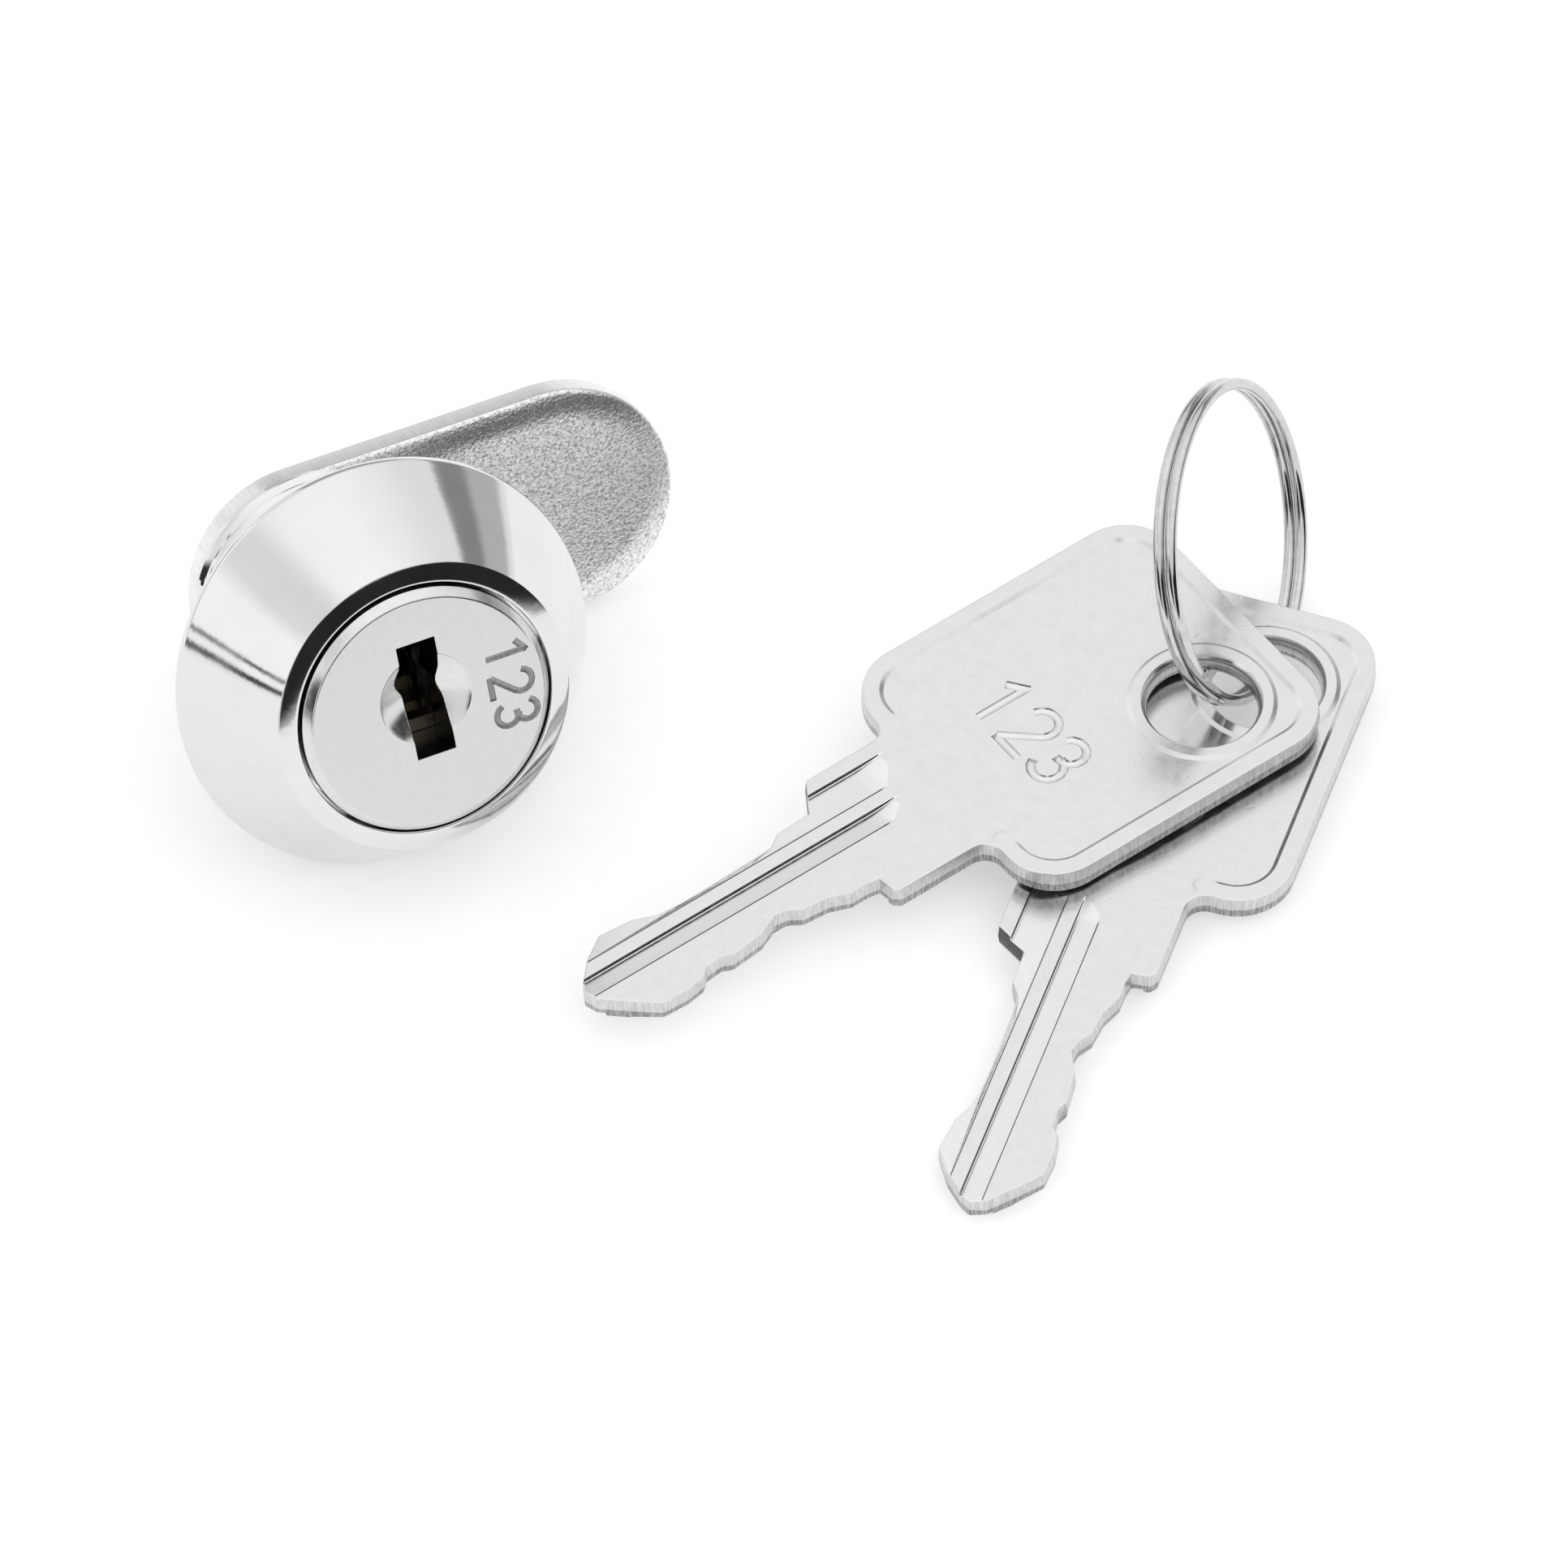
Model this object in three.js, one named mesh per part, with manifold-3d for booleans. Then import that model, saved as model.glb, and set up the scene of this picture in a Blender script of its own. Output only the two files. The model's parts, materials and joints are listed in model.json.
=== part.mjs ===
// A wafer cam lock with a conical bezel, lying on its bezel rim and its cam, and two keys on a split ring.
// Millimetres, +Z up, the floor at z = 0. The cam points along +X, and the lock faces -Y, tilted upwards.
import * as THREE from 'three';
import { mergeVertices } from 'three/addons/utils/BufferGeometryUtils.js';
import Module from 'manifold-3d';

const wasm = await Module();
wasm.setup();

// ---- Lock: radii, and heights along its axis measured from the bezel's back face towards the keyway ----
const BEZEL_R = 12.5;
const BEZEL_RIM = 0.6;
const FRONT_RING_R = 8.85;
const FRONT_Z = 7.1;
const HEAD_BORE_R = 7.7;
const HEAD_BORE_Z = 5.4;
const BORE_R = 6.05;
const BARREL_R = 8;
const BARREL_FLAT = 7;
const BARREL_END = -9.4;
const SEAT_R = 9;
const SEAT_RELIEF = 0.5;
const BODY_SEGMENTS = 64;

const PLUG_R = 5.9;
const PLUG_HEAD_R = 7.5;
const PLUG_FACE_R = 7.05;
const PLUG_FACE_Z = 7.8;
const PLUG_BEVEL = 0.45;
const HEAD_GAP = 0.3;
const TANG_R = 4.5;
const TANG_FLAT = 3.8;
const TANG_END = -12.5;
const STUD_R = 2.5;
const STUD_END = -16;
const DOUBLE_D_R = 4.6;
const DOUBLE_D_FLAT = 3.9;

const KEYWAY_Y = 0.85;
const KEYWAY_WIDTH = 2.35;
const KEYWAY_HEIGHT = 7.25;
const KEYWAY_END = -9;
const KEYWAY_BULGE = 0.4;
const KEYWAY_DIP = 0.25;
const TIP_POCKET_HALF_WIDTH = 1.05;
const TIP_POCKET_LOW = -2.1;
const TIP_POCKET_HIGH = 3.8;
const TIP_POCKET_END = -11.6;
const DISH_R = 2.72;
const DISH_FLOOR_R = 2.02;
const DISH_DEPTH = 0.9;
const DISH_WALL = 0.3;

const WAFER_COUNT = 6;
const WAFER_PITCH = 1.95;
const FIRST_WAFER_Z = 4;
const WAFER_THICKNESS = 1;
const WAFER_HALF_WIDTH = 3;
const WAFER_SLOT_GAP = 0.15;
const WAFER_SLOT_HALF_DEPTH = 0.6;
const WAFER_EAR_R = 4.5;
const WAFER_EAR_TOP = 1.3;
const WINDOW_HALF_WIDTH = 1.5;
const WINDOW_TOP = 3.3;
const CHANNEL_R = 7.1;
const CHANNEL_HALF_WIDTH = 3.3;
const POCKET_OUT = 4.7;
const POCKET_LOW = -2.9;
const POCKET_HIGH = 2.5;
const POCKET_HALF_DEPTH = 0.7;
const SPRING_X = 3.75;
const SPRING_START = -2.65;
const SPRING_LENGTH = 2.4;
const SPRING_TURNS = 5;
const SPRING_R = 0.4;
const SPRING_WIRE_R = 0.1;

const RETAINER_Z = -7.8;
const RETAINER_ANGLE = 30;
const RETAINER_OUT_R = 6.6;
const RETAINER_IN = 3.3;
const RETAINER_NOTCH_END = 5;
const RETAINER_NOTCH_HALF_WIDTH = 0.65;
const RETAINER_HALF_WIDTH = 1.5;
const RETAINER_HALF_THICKNESS = 0.55;
const RETAINER_SLOT_START = 2.4;
const RETAINER_SPRING_START = 2.62;
const RETAINER_SPRING_LENGTH = 2.15;
const RETAINER_SPRING_TURNS = 4;
const GROOVE_R = 6.75;
const GROOVE_MARGIN = 20;

const STOP_INNER_R = 6.4;
const STOP_END = -10.5;
const STOP_WASHER_R = 6.1;
const STOP_TAB_R = 7.6;
const STOP_WASHER_GAP = 0.2;
const STOP_CLEARANCE = 1;
const TURN = 90;
const TAB_ANGLE = 225;
const TAB_HALF_ANGLE = 14;

const CAM_FRONT = -10.8;
const CAM_THICKNESS = 2;
const CAM_HALF_WIDTH = 7;
const CAM_REACH = 15.7;

const NUT_FLATS = 17.9;
const NUT_TURN = 29;
const NUT_HOLE_R = 8.15;
const NUT_FRONT = -2.3;
const NUT_THICKNESS = 1.6;
const CAM_NUT_FLATS = 8;
const CAM_NUT_HOLE_R = 2.6;
const CAM_NUT_THICKNESS = 2;
const CAM_NUT_GAP = 0.9;
const WASHER_TEETH = 10;
const WASHER_ROOT_R = 4.4;
const WASHER_TIP_R = 5.2;
const WASHER_HOLE_R = 2.65;
const WASHER_THICKNESS = 0.4;
const WASHER_GAP = 0.3;

// ---- Keys: lengths run from the tip to the end of the bow, with y to the left of that way ----
const KEY_THICKNESS = 1.6;
const KEY_LENGTH = 46.3;
const BOW_START = 24.6;
const BOW_HALF_WIDTH = 9.74;
const BOW_CORNER_R = 3.4;
const SHOULDER = 18.7;
const SHANK_TOP = 4.95;
const SHANK_BOTTOM = -4.7;
const NECK_R = 1.2;
const KEY_HOLE = new THREE.Vector2(40.5, -4);
const KEY_HOLE_R = 3.25;
const BOSS_R = 4.25;
const RIM_WIDTH = 1.1;
const FIELD_DEPTH = 0.16;
const KEY_GROOVE_DEPTH = 0.35;
const KEY_GROOVE_END = 21.8;
const KEY_GROOVE_LOW = -0.6;
const KEY_GROOVE_HIGH = 0.93;
const TOP_CUTS = [
  [0, 0.93], [1.05, 2.04], [2.65, 3.09], [4.8, 2.87], [6.1, 2.27], [7.8, 2.11], [10, 2.05],
  [12.3, 1.93], [13.1, 2.18], [14.25, 2.3], [15.15, 2.9], [17.5, 3],
];
const BOTTOM_CUTS = [
  [-0.4, 0.25], [-0.15, -0.65], [1.25, -1.93], [2.65, -3.12], [4.3, -3.21], [5.5, -3.02], [6.1, -2.52],
  [7.2, -2.42], [7.85, -2.72], [10, -2.52], [11.4, -1.88], [12.2, -1.98], [13, -2.52], [14.6, -2.67],
  [15.9, -3.21], [17.1, -3.21],
];

// ---- Where the key set lies ----
const KEY_2_TIP = new THREE.Vector2(18.03, -42.44);
const KEY_2_TURN = 46.51;
const KEY_2_PITCH = 1.54;
const KEY_1_TIP = new THREE.Vector2(5.51, 24.8);
const KEY_1_TURN = -34.38;
const KEY_GAP = 0.25;
const FLOOR_GAP = 0.02;
const RING_CENTRE = new THREE.Vector3(49.03, -10.31, 9.17);
const RING_TURN = 47.41;
const RING_LEAN = 19.08;
const RING_R = 9.155;
const RING_WIRE_R = 0.35;
const RING_COIL_OFFSET = 0.38;
const RING_CROSSING = 15;
const RING_END_GAP = 3;

const radians = THREE.MathUtils.degToRad;
const point = (radius, degrees) => [radius * Math.cos(radians(degrees)), radius * Math.sin(radians(degrees))];

// ---- Geometry helpers ----
function solid(geometry) {
  const bare = geometry.clone();
  bare.deleteAttribute('normal');
  bare.deleteAttribute('uv');
  const merged = mergeVertices(bare, 1e-5);
  const mesh = new wasm.Mesh({
    numProp: 3,
    vertProperties: merged.attributes.position.array,
    triVerts: new Uint32Array(merged.index.array),
  });
  return new wasm.Manifold(mesh);
}

function geometryOf(manifold) {
  const mesh = manifold.getMesh();
  const geometry = new THREE.BufferGeometry();
  geometry.setAttribute('position', new THREE.BufferAttribute(mesh.vertProperties, 3));
  geometry.setIndex(new THREE.BufferAttribute(mesh.triVerts, 1));
  geometry.computeVertexNormals();
  return geometry;
}

// A body turned about z. The profile is a list of [radius, z] going up its outside.
function turned(profile, segments = 48) {
  const points = profile.map(([r, z]) => new THREE.Vector2(r, z));
  const geometry = new THREE.LatheGeometry(points, segments);
  geometry.rotateX(Math.PI / 2);
  return solid(geometry);
}

function extruded(shape, low, high, curveSegments = 12) {
  const options = { depth: high - low, bevelEnabled: false, curveSegments };
  const geometry = new THREE.ExtrudeGeometry(shape, options);
  geometry.translate(0, 0, low);
  return solid(geometry);
}

function block(x0, x1, y0, y1, z0, z1) {
  const geometry = new THREE.BoxGeometry(x1 - x0, y1 - y0, z1 - z0);
  geometry.translate((x0 + x1) / 2, (y0 + y1) / 2, (z0 + z1) / 2);
  return solid(geometry);
}

const disc = (radius, low, high, segments = 48) =>
  turned([[0, low], [radius, low], [radius, high], [0, high]], segments);

function polygon(points) {
  return new THREE.Shape(points.map(([x, y]) => new THREE.Vector2(x, y)));
}

function hexagon(flats, turn) {
  const corner = flats / Math.sqrt(3);
  return polygon([0, 1, 2, 3, 4, 5].map((i) => point(corner, turn + 60 * i)));
}

// A ring sector between two radii, from one angle to another in degrees.
function sector(inner, outer, from, to, low, high) {
  const shape = new THREE.Shape();
  shape.absarc(0, 0, outer, radians(from), radians(to), false);
  if (inner > 0) {
    shape.absarc(0, 0, inner, radians(to), radians(from), true);
  } else {
    shape.lineTo(0, 0);
  }
  return extruded(shape, low, high, 24);
}

const doubleD = (low, high) =>
  disc(DOUBLE_D_R, low, high).intersect(block(-DOUBLE_D_FLAT, DOUBLE_D_FLAT, -6, 6, low - 1, high + 1));

class Coil extends THREE.Curve {
  constructor(radius, length, turns) {
    super();
    Object.assign(this, { radius, length, turns });
  }

  getPoint(t, target = new THREE.Vector3()) {
    const angle = 2 * Math.PI * this.turns * t;
    return target.set(this.radius * Math.cos(angle), this.length * t, this.radius * Math.sin(angle));
  }
}

// The wire of a split ring: one coil, a crossing at the bottom, and a second coil beside the first.
class SplitRingWire extends THREE.Curve {
  getPoint(t, target = new THREE.Vector3()) {
    const start = -90 + RING_CROSSING + RING_END_GAP;
    const angle = start + 2 * (360 - RING_CROSSING - RING_END_GAP) * t;
    const across = THREE.MathUtils.smoothstep(angle, 270 - RING_CROSSING, 270 + RING_CROSSING);
    const [x, y] = point(RING_R, angle);
    return target.set(x, y, RING_COIL_OFFSET * (2 * across - 1));
  }
}

function wire(curve, radius, steps, sides) {
  const section = polygon(Array.from({ length: sides }, (_, i) => point(radius, (360 * i) / sides)));
  return new THREE.ExtrudeGeometry(section, { steps, bevelEnabled: false, extrudePath: curve });
}

const metal = (color, roughness) => new THREE.MeshStandardMaterial({ color, roughness, metalness: 1 });

function piece(parent, name, shape, material) {
  const geometry = shape.isBufferGeometry ? shape : geometryOf(shape);
  const mesh = new THREE.Mesh(geometry, material);
  mesh.name = name;
  parent.add(mesh);
  return mesh;
}

function groupIn(parent) {
  const group = new THREE.Group();
  parent.add(group);
  return group;
}

// ---- Lock pieces ----
const waferZ = (index) => FIRST_WAFER_Z - WAFER_PITCH * index;
const waferSide = (index) => (index % 2 === 0 ? 1 : -1);

function turnedOver(shape, side) {
  return side > 0 ? shape : shape.rotate([0, 0, 180]);
}

function housingShape() {
  const body = turned([
    [BORE_R, BARREL_END], [BARREL_R, BARREL_END], [BARREL_R, SEAT_RELIEF], [SEAT_R, SEAT_RELIEF], [SEAT_R, 0],
    [BEZEL_R, 0], [BEZEL_R, BEZEL_RIM], [FRONT_RING_R, FRONT_Z - 0.1], [FRONT_RING_R - 0.25, FRONT_Z + 0.1],
    [HEAD_BORE_R, FRONT_Z + 0.15], [HEAD_BORE_R, HEAD_BORE_Z], [BORE_R, HEAD_BORE_Z], [BORE_R, BARREL_END],
  ], BODY_SEGMENTS);
  const stopFrom = TAB_ANGLE + TURN + TAB_HALF_ANGLE + STOP_CLEARANCE;
  const stopTo = TAB_ANGLE - TAB_HALF_ANGLE - STOP_CLEARANCE + 360;
  const stop = sector(STOP_INNER_R, BARREL_R, stopFrom, stopTo, STOP_END, BARREL_END + 0.4);
  const lastWafer = waferZ(WAFER_COUNT - 1) - WAFER_THICKNESS;
  const channels = disc(CHANNEL_R, lastWafer, FIRST_WAFER_Z + WAFER_THICKNESS)
    .intersect(block(-CHANNEL_HALF_WIDTH, CHANNEL_HALF_WIDTH, -BARREL_R, BARREL_R, BARREL_END, FRONT_Z));
  const grooveFrom = RETAINER_ANGLE - GROOVE_MARGIN;
  const grooveTo = RETAINER_ANGLE + TURN + GROOVE_MARGIN;
  const retainerGroove = sector(0, GROOVE_R, grooveFrom, grooveTo, RETAINER_Z - 0.7, RETAINER_Z + 0.7);
  const flats = [-1, 1].map((side) => {
    const near = side * BARREL_FLAT;
    const far = side * (BARREL_R + 1);
    return block(Math.min(near, far), Math.max(near, far), -9, 9, STOP_END - 1, SEAT_RELIEF / 2);
  });
  return body.add(stop).subtract(channels).subtract(retainerGroove).subtract(flats[0]).subtract(flats[1]);
}

// The keyway's outline bends once: its left edge bulges above the middle and its right edge dips there.
function keywayShape() {
  const w = KEYWAY_WIDTH / 2;
  const h = KEYWAY_HEIGHT / 2;
  return polygon([
    [-w, -h], [w, -h], [w, -0.5], [w - KEYWAY_DIP, 0.5], [w, 1.6], [w, h], [-w, h], [-w, 2.3],
    [-w - KEYWAY_BULGE, 1.3], [-w, 0.2],
  ].map(([x, y]) => [x, y + KEYWAY_Y]));
}

function plugBody() {
  const headBack = HEAD_BORE_Z + HEAD_GAP;
  return turned([
    [0, STUD_END], [STUD_R - 0.4, STUD_END], [STUD_R, STUD_END + 0.4], [STUD_R, TANG_END], [TANG_R, TANG_END],
    [TANG_R, BARREL_END], [PLUG_R, BARREL_END], [PLUG_R, headBack], [PLUG_HEAD_R, headBack],
    [PLUG_HEAD_R, PLUG_FACE_Z - PLUG_BEVEL], [PLUG_FACE_R, PLUG_FACE_Z], [0, PLUG_FACE_Z],
  ]);
}

function dishCut() {
  const floor = PLUG_FACE_Z - DISH_DEPTH;
  const rim = PLUG_FACE_Z - DISH_WALL;
  const above = PLUG_FACE_Z + 1;
  return turned([[0, floor], [DISH_FLOOR_R, floor], [DISH_R, rim], [DISH_R, above], [0, above]], 32)
    .translate([0, KEYWAY_Y, 0]);
}

// The slot that one wafer slides in, and the pocket at its side for the ear and the spring under it.
function waferCuts(index) {
  const z = waferZ(index);
  const half = WAFER_HALF_WIDTH + WAFER_SLOT_GAP;
  const depth = WAFER_SLOT_HALF_DEPTH;
  const slot = block(-half, half, -7, 7, z - depth, z + depth);
  const low = z - POCKET_HALF_DEPTH;
  const high = z + POCKET_HALF_DEPTH;
  const pocket = block(WAFER_HALF_WIDTH, POCKET_OUT, POCKET_LOW, POCKET_HIGH, low, high);
  return [slot, turnedOver(pocket, waferSide(index))];
}

function retainerCut() {
  const half = RETAINER_HALF_WIDTH + 0.1;
  const depth = RETAINER_HALF_THICKNESS + 0.1;
  return block(-half, half, RETAINER_SLOT_START, 7, RETAINER_Z - depth, RETAINER_Z + depth)
    .rotate([0, 0, RETAINER_ANGLE - 90]);
}

function plugShape() {
  const pocket = TIP_POCKET_HALF_WIDTH;
  const flatLow = TANG_END - 0.5;
  const flatHigh = BARREL_END - 0.05;
  let plug = plugBody();
  const cuts = [
    dishCut(),
    extruded(keywayShape(), KEYWAY_END, PLUG_FACE_Z + 1),
    block(-pocket, pocket, TIP_POCKET_LOW, TIP_POCKET_HIGH, TIP_POCKET_END, BARREL_END + 1),
    block(TANG_FLAT, TANG_R + 1, -6, 6, flatLow, flatHigh),
    block(-TANG_R - 1, -TANG_FLAT, -6, 6, flatLow, flatHigh),
    retainerCut(),
  ];
  for (let i = 0; i < WAFER_COUNT; i += 1) {
    cuts.push(...waferCuts(i));
  }
  for (const cut of cuts) {
    plug = plug.subtract(cut);
  }
  return plug;
}

// The height of a key edge at a distance from the tip, along straight lines between its corners.
function edgeHeight(cuts, along) {
  const next = cuts.findIndex(([x]) => x >= along);
  const [x0, y0] = cuts[next - 1];
  const [x1, y1] = cuts[next];
  return y0 + ((y1 - y0) * (along - x0)) / (x1 - x0);
}

// A wafer as it stands with the key in: flush with the plug, its window resting on the key's cut edge.
function waferShape(index) {
  const z = waferZ(index);
  const side = waferSide(index);
  const low = z - WAFER_THICKNESS / 2;
  const high = z + WAFER_THICKNESS / 2;
  const along = SHOULDER - PLUG_FACE_Z + z;
  const keyEdge = side > 0 ? edgeHeight(BOTTOM_CUTS, along) : -edgeHeight(TOP_CUTS, along);
  const windowLow = side * KEYWAY_Y + keyEdge;
  const windowHigh = side * KEYWAY_Y + WINDOW_TOP;
  const half = WINDOW_HALF_WIDTH;
  const plate = disc(PLUG_R - WAFER_SLOT_GAP, low, high)
    .intersect(block(-WAFER_HALF_WIDTH, WAFER_HALF_WIDTH, -7, 7, low - 1, high + 1))
    .add(block(WAFER_HALF_WIDTH - 0.5, WAFER_EAR_R, 0, WAFER_EAR_TOP, low, high));
  return turnedOver(plate.subtract(block(-half, half, windowLow, windowHigh, low - 1, high + 1)), side);
}

function springGeometry(length, turns) {
  return wire(new Coil(SPRING_R, length, turns), SPRING_WIRE_R, Math.round(turns * 8), 5);
}

function retainerShape() {
  const low = RETAINER_Z - RETAINER_HALF_THICKNESS;
  const high = RETAINER_Z + RETAINER_HALF_THICKNESS;
  const half = RETAINER_HALF_WIDTH;
  const notch = RETAINER_NOTCH_HALF_WIDTH;
  return disc(RETAINER_OUT_R, low, high)
    .intersect(block(-half, half, RETAINER_IN, BARREL_R, low - 1, high + 1))
    .subtract(block(-notch, notch, RETAINER_IN - 1, RETAINER_NOTCH_END, low - 1, high + 1));
}

function stopWasherShape() {
  const low = STOP_END;
  const high = BARREL_END - STOP_WASHER_GAP;
  const tabFrom = TAB_ANGLE - TAB_HALF_ANGLE;
  const tabTo = TAB_ANGLE + TAB_HALF_ANGLE;
  const tab = sector(STOP_WASHER_R - 1.1, STOP_TAB_R, tabFrom, tabTo, low, high);
  return disc(STOP_WASHER_R, low, high).add(tab).subtract(doubleD(low - 1, high + 1));
}

function camShape() {
  const outline = new THREE.Shape();
  outline.absarc(0, 0, CAM_HALF_WIDTH, radians(90), radians(270), false);
  outline.absarc(CAM_REACH, 0, CAM_HALF_WIDTH, radians(-90), radians(90), false);
  const plate = extruded(outline, CAM_FRONT - CAM_THICKNESS, CAM_FRONT, 24);
  return plate.subtract(doubleD(CAM_FRONT - CAM_THICKNESS - 1, CAM_FRONT + 1));
}

function nutShape(flats, turn, hole, front, thickness) {
  return extruded(hexagon(flats, turn), front - thickness, front)
    .subtract(disc(hole, front - thickness - 1, front + 1));
}

function toothedWasherShape(front) {
  const corners = [];
  for (let i = 0; i < WASHER_TEETH; i += 1) {
    const angle = (360 * i) / WASHER_TEETH;
    corners.push(point(WASHER_ROOT_R, angle));
    corners.push(point(WASHER_TIP_R, angle + 9), point(WASHER_TIP_R, angle + 24));
  }
  return extruded(polygon(corners), front - WASHER_THICKNESS, front)
    .subtract(disc(WASHER_HOLE_R, front - WASHER_THICKNESS - 1, front + 1));
}

// ---- Key pieces ----
function keyOutline() {
  const shape = new THREE.Shape();
  const r = BOW_CORNER_R;
  const neck = NECK_R;
  BOTTOM_CUTS.forEach(([x, y], i) => (i === 0 ? shape.moveTo(x, y) : shape.lineTo(x, y)));
  shape.lineTo(SHOULDER - 0.7, -4);
  shape.lineTo(SHOULDER, SHANK_BOTTOM);
  shape.lineTo(BOW_START - neck, SHANK_BOTTOM);
  shape.absarc(BOW_START - neck, SHANK_BOTTOM - neck, neck, radians(90), radians(0), true);
  shape.absarc(BOW_START + r, -BOW_HALF_WIDTH + r, r, radians(180), radians(270), false);
  shape.absarc(KEY_LENGTH - r, -BOW_HALF_WIDTH + r, r, radians(270), radians(360), false);
  shape.absarc(KEY_LENGTH - r, BOW_HALF_WIDTH - r, r, radians(0), radians(90), false);
  shape.absarc(BOW_START + r, BOW_HALF_WIDTH - r, r, radians(90), radians(180), false);
  shape.absarc(BOW_START - neck, SHANK_TOP + neck, neck, radians(0), radians(-90), true);
  shape.lineTo(SHOULDER, SHANK_TOP);
  [...TOP_CUTS].reverse().forEach(([x, y]) => shape.lineTo(x, y));
  return shape;
}

// The sunk field inside the bow's raised rim, less the boss that stands round the hole.
function fieldShape(low, high) {
  const r = BOW_CORNER_R - RIM_WIDTH;
  const x0 = BOW_START + RIM_WIDTH;
  const x1 = KEY_LENGTH - RIM_WIDTH;
  const y = BOW_HALF_WIDTH - RIM_WIDTH;
  const shape = new THREE.Shape();
  shape.absarc(x0 + r, -y + r, r, radians(180), radians(270), false);
  shape.absarc(x1 - r, -y + r, r, radians(270), radians(360), false);
  shape.absarc(x1 - r, y - r, r, radians(0), radians(90), false);
  shape.absarc(x0 + r, y - r, r, radians(90), radians(180), false);
  const boss = disc(BOSS_R, low - 1, high + 1, 32).translate([KEY_HOLE.x, KEY_HOLE.y, 0]);
  return extruded(shape, low, high, 5).subtract(boss);
}

function keyShape() {
  const hole = disc(KEY_HOLE_R, -1, KEY_THICKNESS + 1, 40).translate([KEY_HOLE.x, KEY_HOLE.y, 0]);
  const top = KEY_THICKNESS;
  const groove = (low, high) => block(-2, KEY_GROOVE_END, KEY_GROOVE_LOW, KEY_GROOVE_HIGH, low, high);
  return extruded(keyOutline(), 0, top, 5)
    .subtract(hole)
    .subtract(fieldShape(top - FIELD_DEPTH, top + 1))
    .subtract(fieldShape(-1, FIELD_DEPTH))
    .subtract(groove(top - KEY_GROOVE_DEPTH, top + 1))
    .subtract(groove(-1, KEY_GROOVE_DEPTH));
}

// ---- Materials ----
const chrome = metal(0xdcdcdc, 0.08);
const plugMetal = metal(0xd2d2d0, 0.22);
const blastedSteel = metal(0x8f8f8d, 0.62);
const nickel = metal(0xd9d8d4, 0.3);
const brass = metal(0xc9a557, 0.35);
const zincPlate = metal(0xb4b5b3, 0.38);
const springSteel = metal(0x9a9b9c, 0.28);

// ---- Assembly ----
const assembly = new THREE.Group();
const layout = groupIn(assembly);

const tilt = Math.atan((BEZEL_R - CAM_HALF_WIDTH) / (CAM_THICKNESS - CAM_FRONT));
const lock = groupIn(layout);
lock.rotation.x = Math.PI / 2 - tilt;
lock.position.z = BEZEL_R * Math.cos(tilt);

piece(lock, 'housing', housingShape(), chrome);
piece(lock, 'mounting_nut', nutShape(NUT_FLATS, NUT_TURN, NUT_HOLE_R, NUT_FRONT, NUT_THICKNESS), zincPlate);
piece(lock, 'plug', plugShape(), plugMetal);
for (let i = 0; i < WAFER_COUNT; i += 1) {
  piece(lock, `wafer_${i + 1}`, waferShape(i), brass);
  const springShape = springGeometry(SPRING_LENGTH, SPRING_TURNS);
  const spring = piece(lock, `wafer_spring_${i + 1}`, springShape, springSteel);
  const side = waferSide(i);
  spring.rotation.z = side > 0 ? 0 : Math.PI;
  spring.position.set(side * SPRING_X, side * SPRING_START, waferZ(i));
}
piece(lock, 'retainer', retainerShape(), brass).rotation.z = radians(RETAINER_ANGLE - 90);
const retainerSpringShape = springGeometry(RETAINER_SPRING_LENGTH, RETAINER_SPRING_TURNS);
const retainerSpring = piece(lock, 'retainer_spring', retainerSpringShape, springSteel);
const [springStartX, springStartY] = point(RETAINER_SPRING_START, RETAINER_ANGLE);
retainerSpring.rotation.z = radians(RETAINER_ANGLE - 90);
retainerSpring.position.set(springStartX, springStartY, RETAINER_Z);
piece(lock, 'stop_washer', stopWasherShape(), zincPlate);
piece(lock, 'cam', camShape(), blastedSteel);
const camBack = CAM_FRONT - CAM_THICKNESS;
piece(lock, 'cam_washer', toothedWasherShape(camBack - WASHER_GAP), zincPlate);
const camNut = nutShape(CAM_NUT_FLATS, 0, CAM_NUT_HOLE_R, camBack - CAM_NUT_GAP, CAM_NUT_THICKNESS);
piece(lock, 'cam_nut', camNut, zincPlate);

const keyHeading = groupIn(layout);
keyHeading.position.set(KEY_2_TIP.x, KEY_2_TIP.y, FLOOR_GAP);
keyHeading.rotation.z = radians(KEY_2_TURN);
const keyPlane = groupIn(keyHeading);
keyPlane.rotation.y = -radians(KEY_2_PITCH);
piece(keyPlane, 'key_2', keyShape(), nickel);
const upperKey = piece(keyPlane, 'key_1', keyShape(), nickel);
upperKey.position.set(KEY_1_TIP.x, KEY_1_TIP.y, KEY_THICKNESS + KEY_GAP);
upperKey.rotation.z = radians(KEY_1_TURN);

const ringHeading = groupIn(layout);
ringHeading.position.copy(RING_CENTRE);
ringHeading.rotation.z = radians(RING_TURN);
const ringWire = wire(new SplitRingWire(), RING_WIRE_R, 72, 8);
piece(ringHeading, 'split_ring', ringWire, springSteel).rotation.x = Math.PI / 2 - radians(RING_LEAN);

// The origin is the middle of the whole part's footprint, on the floor.
layout.updateMatrixWorld(true);
const bounds = new THREE.Box3().setFromObject(layout, true);
const centre = bounds.getCenter(new THREE.Vector3());
layout.position.set(-centre.x, -centre.y, -bounds.min.z);

export default assembly;
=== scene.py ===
"""Looks of a wafer cam lock lying beside its two keys on a split ring.

Lengths in the mesh code are millimetres, and lengths in the materials, the camera and the floor are metres.
"""
import json
import math

import bmesh
import bpy
from mathutils import Matrix, Vector


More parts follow.
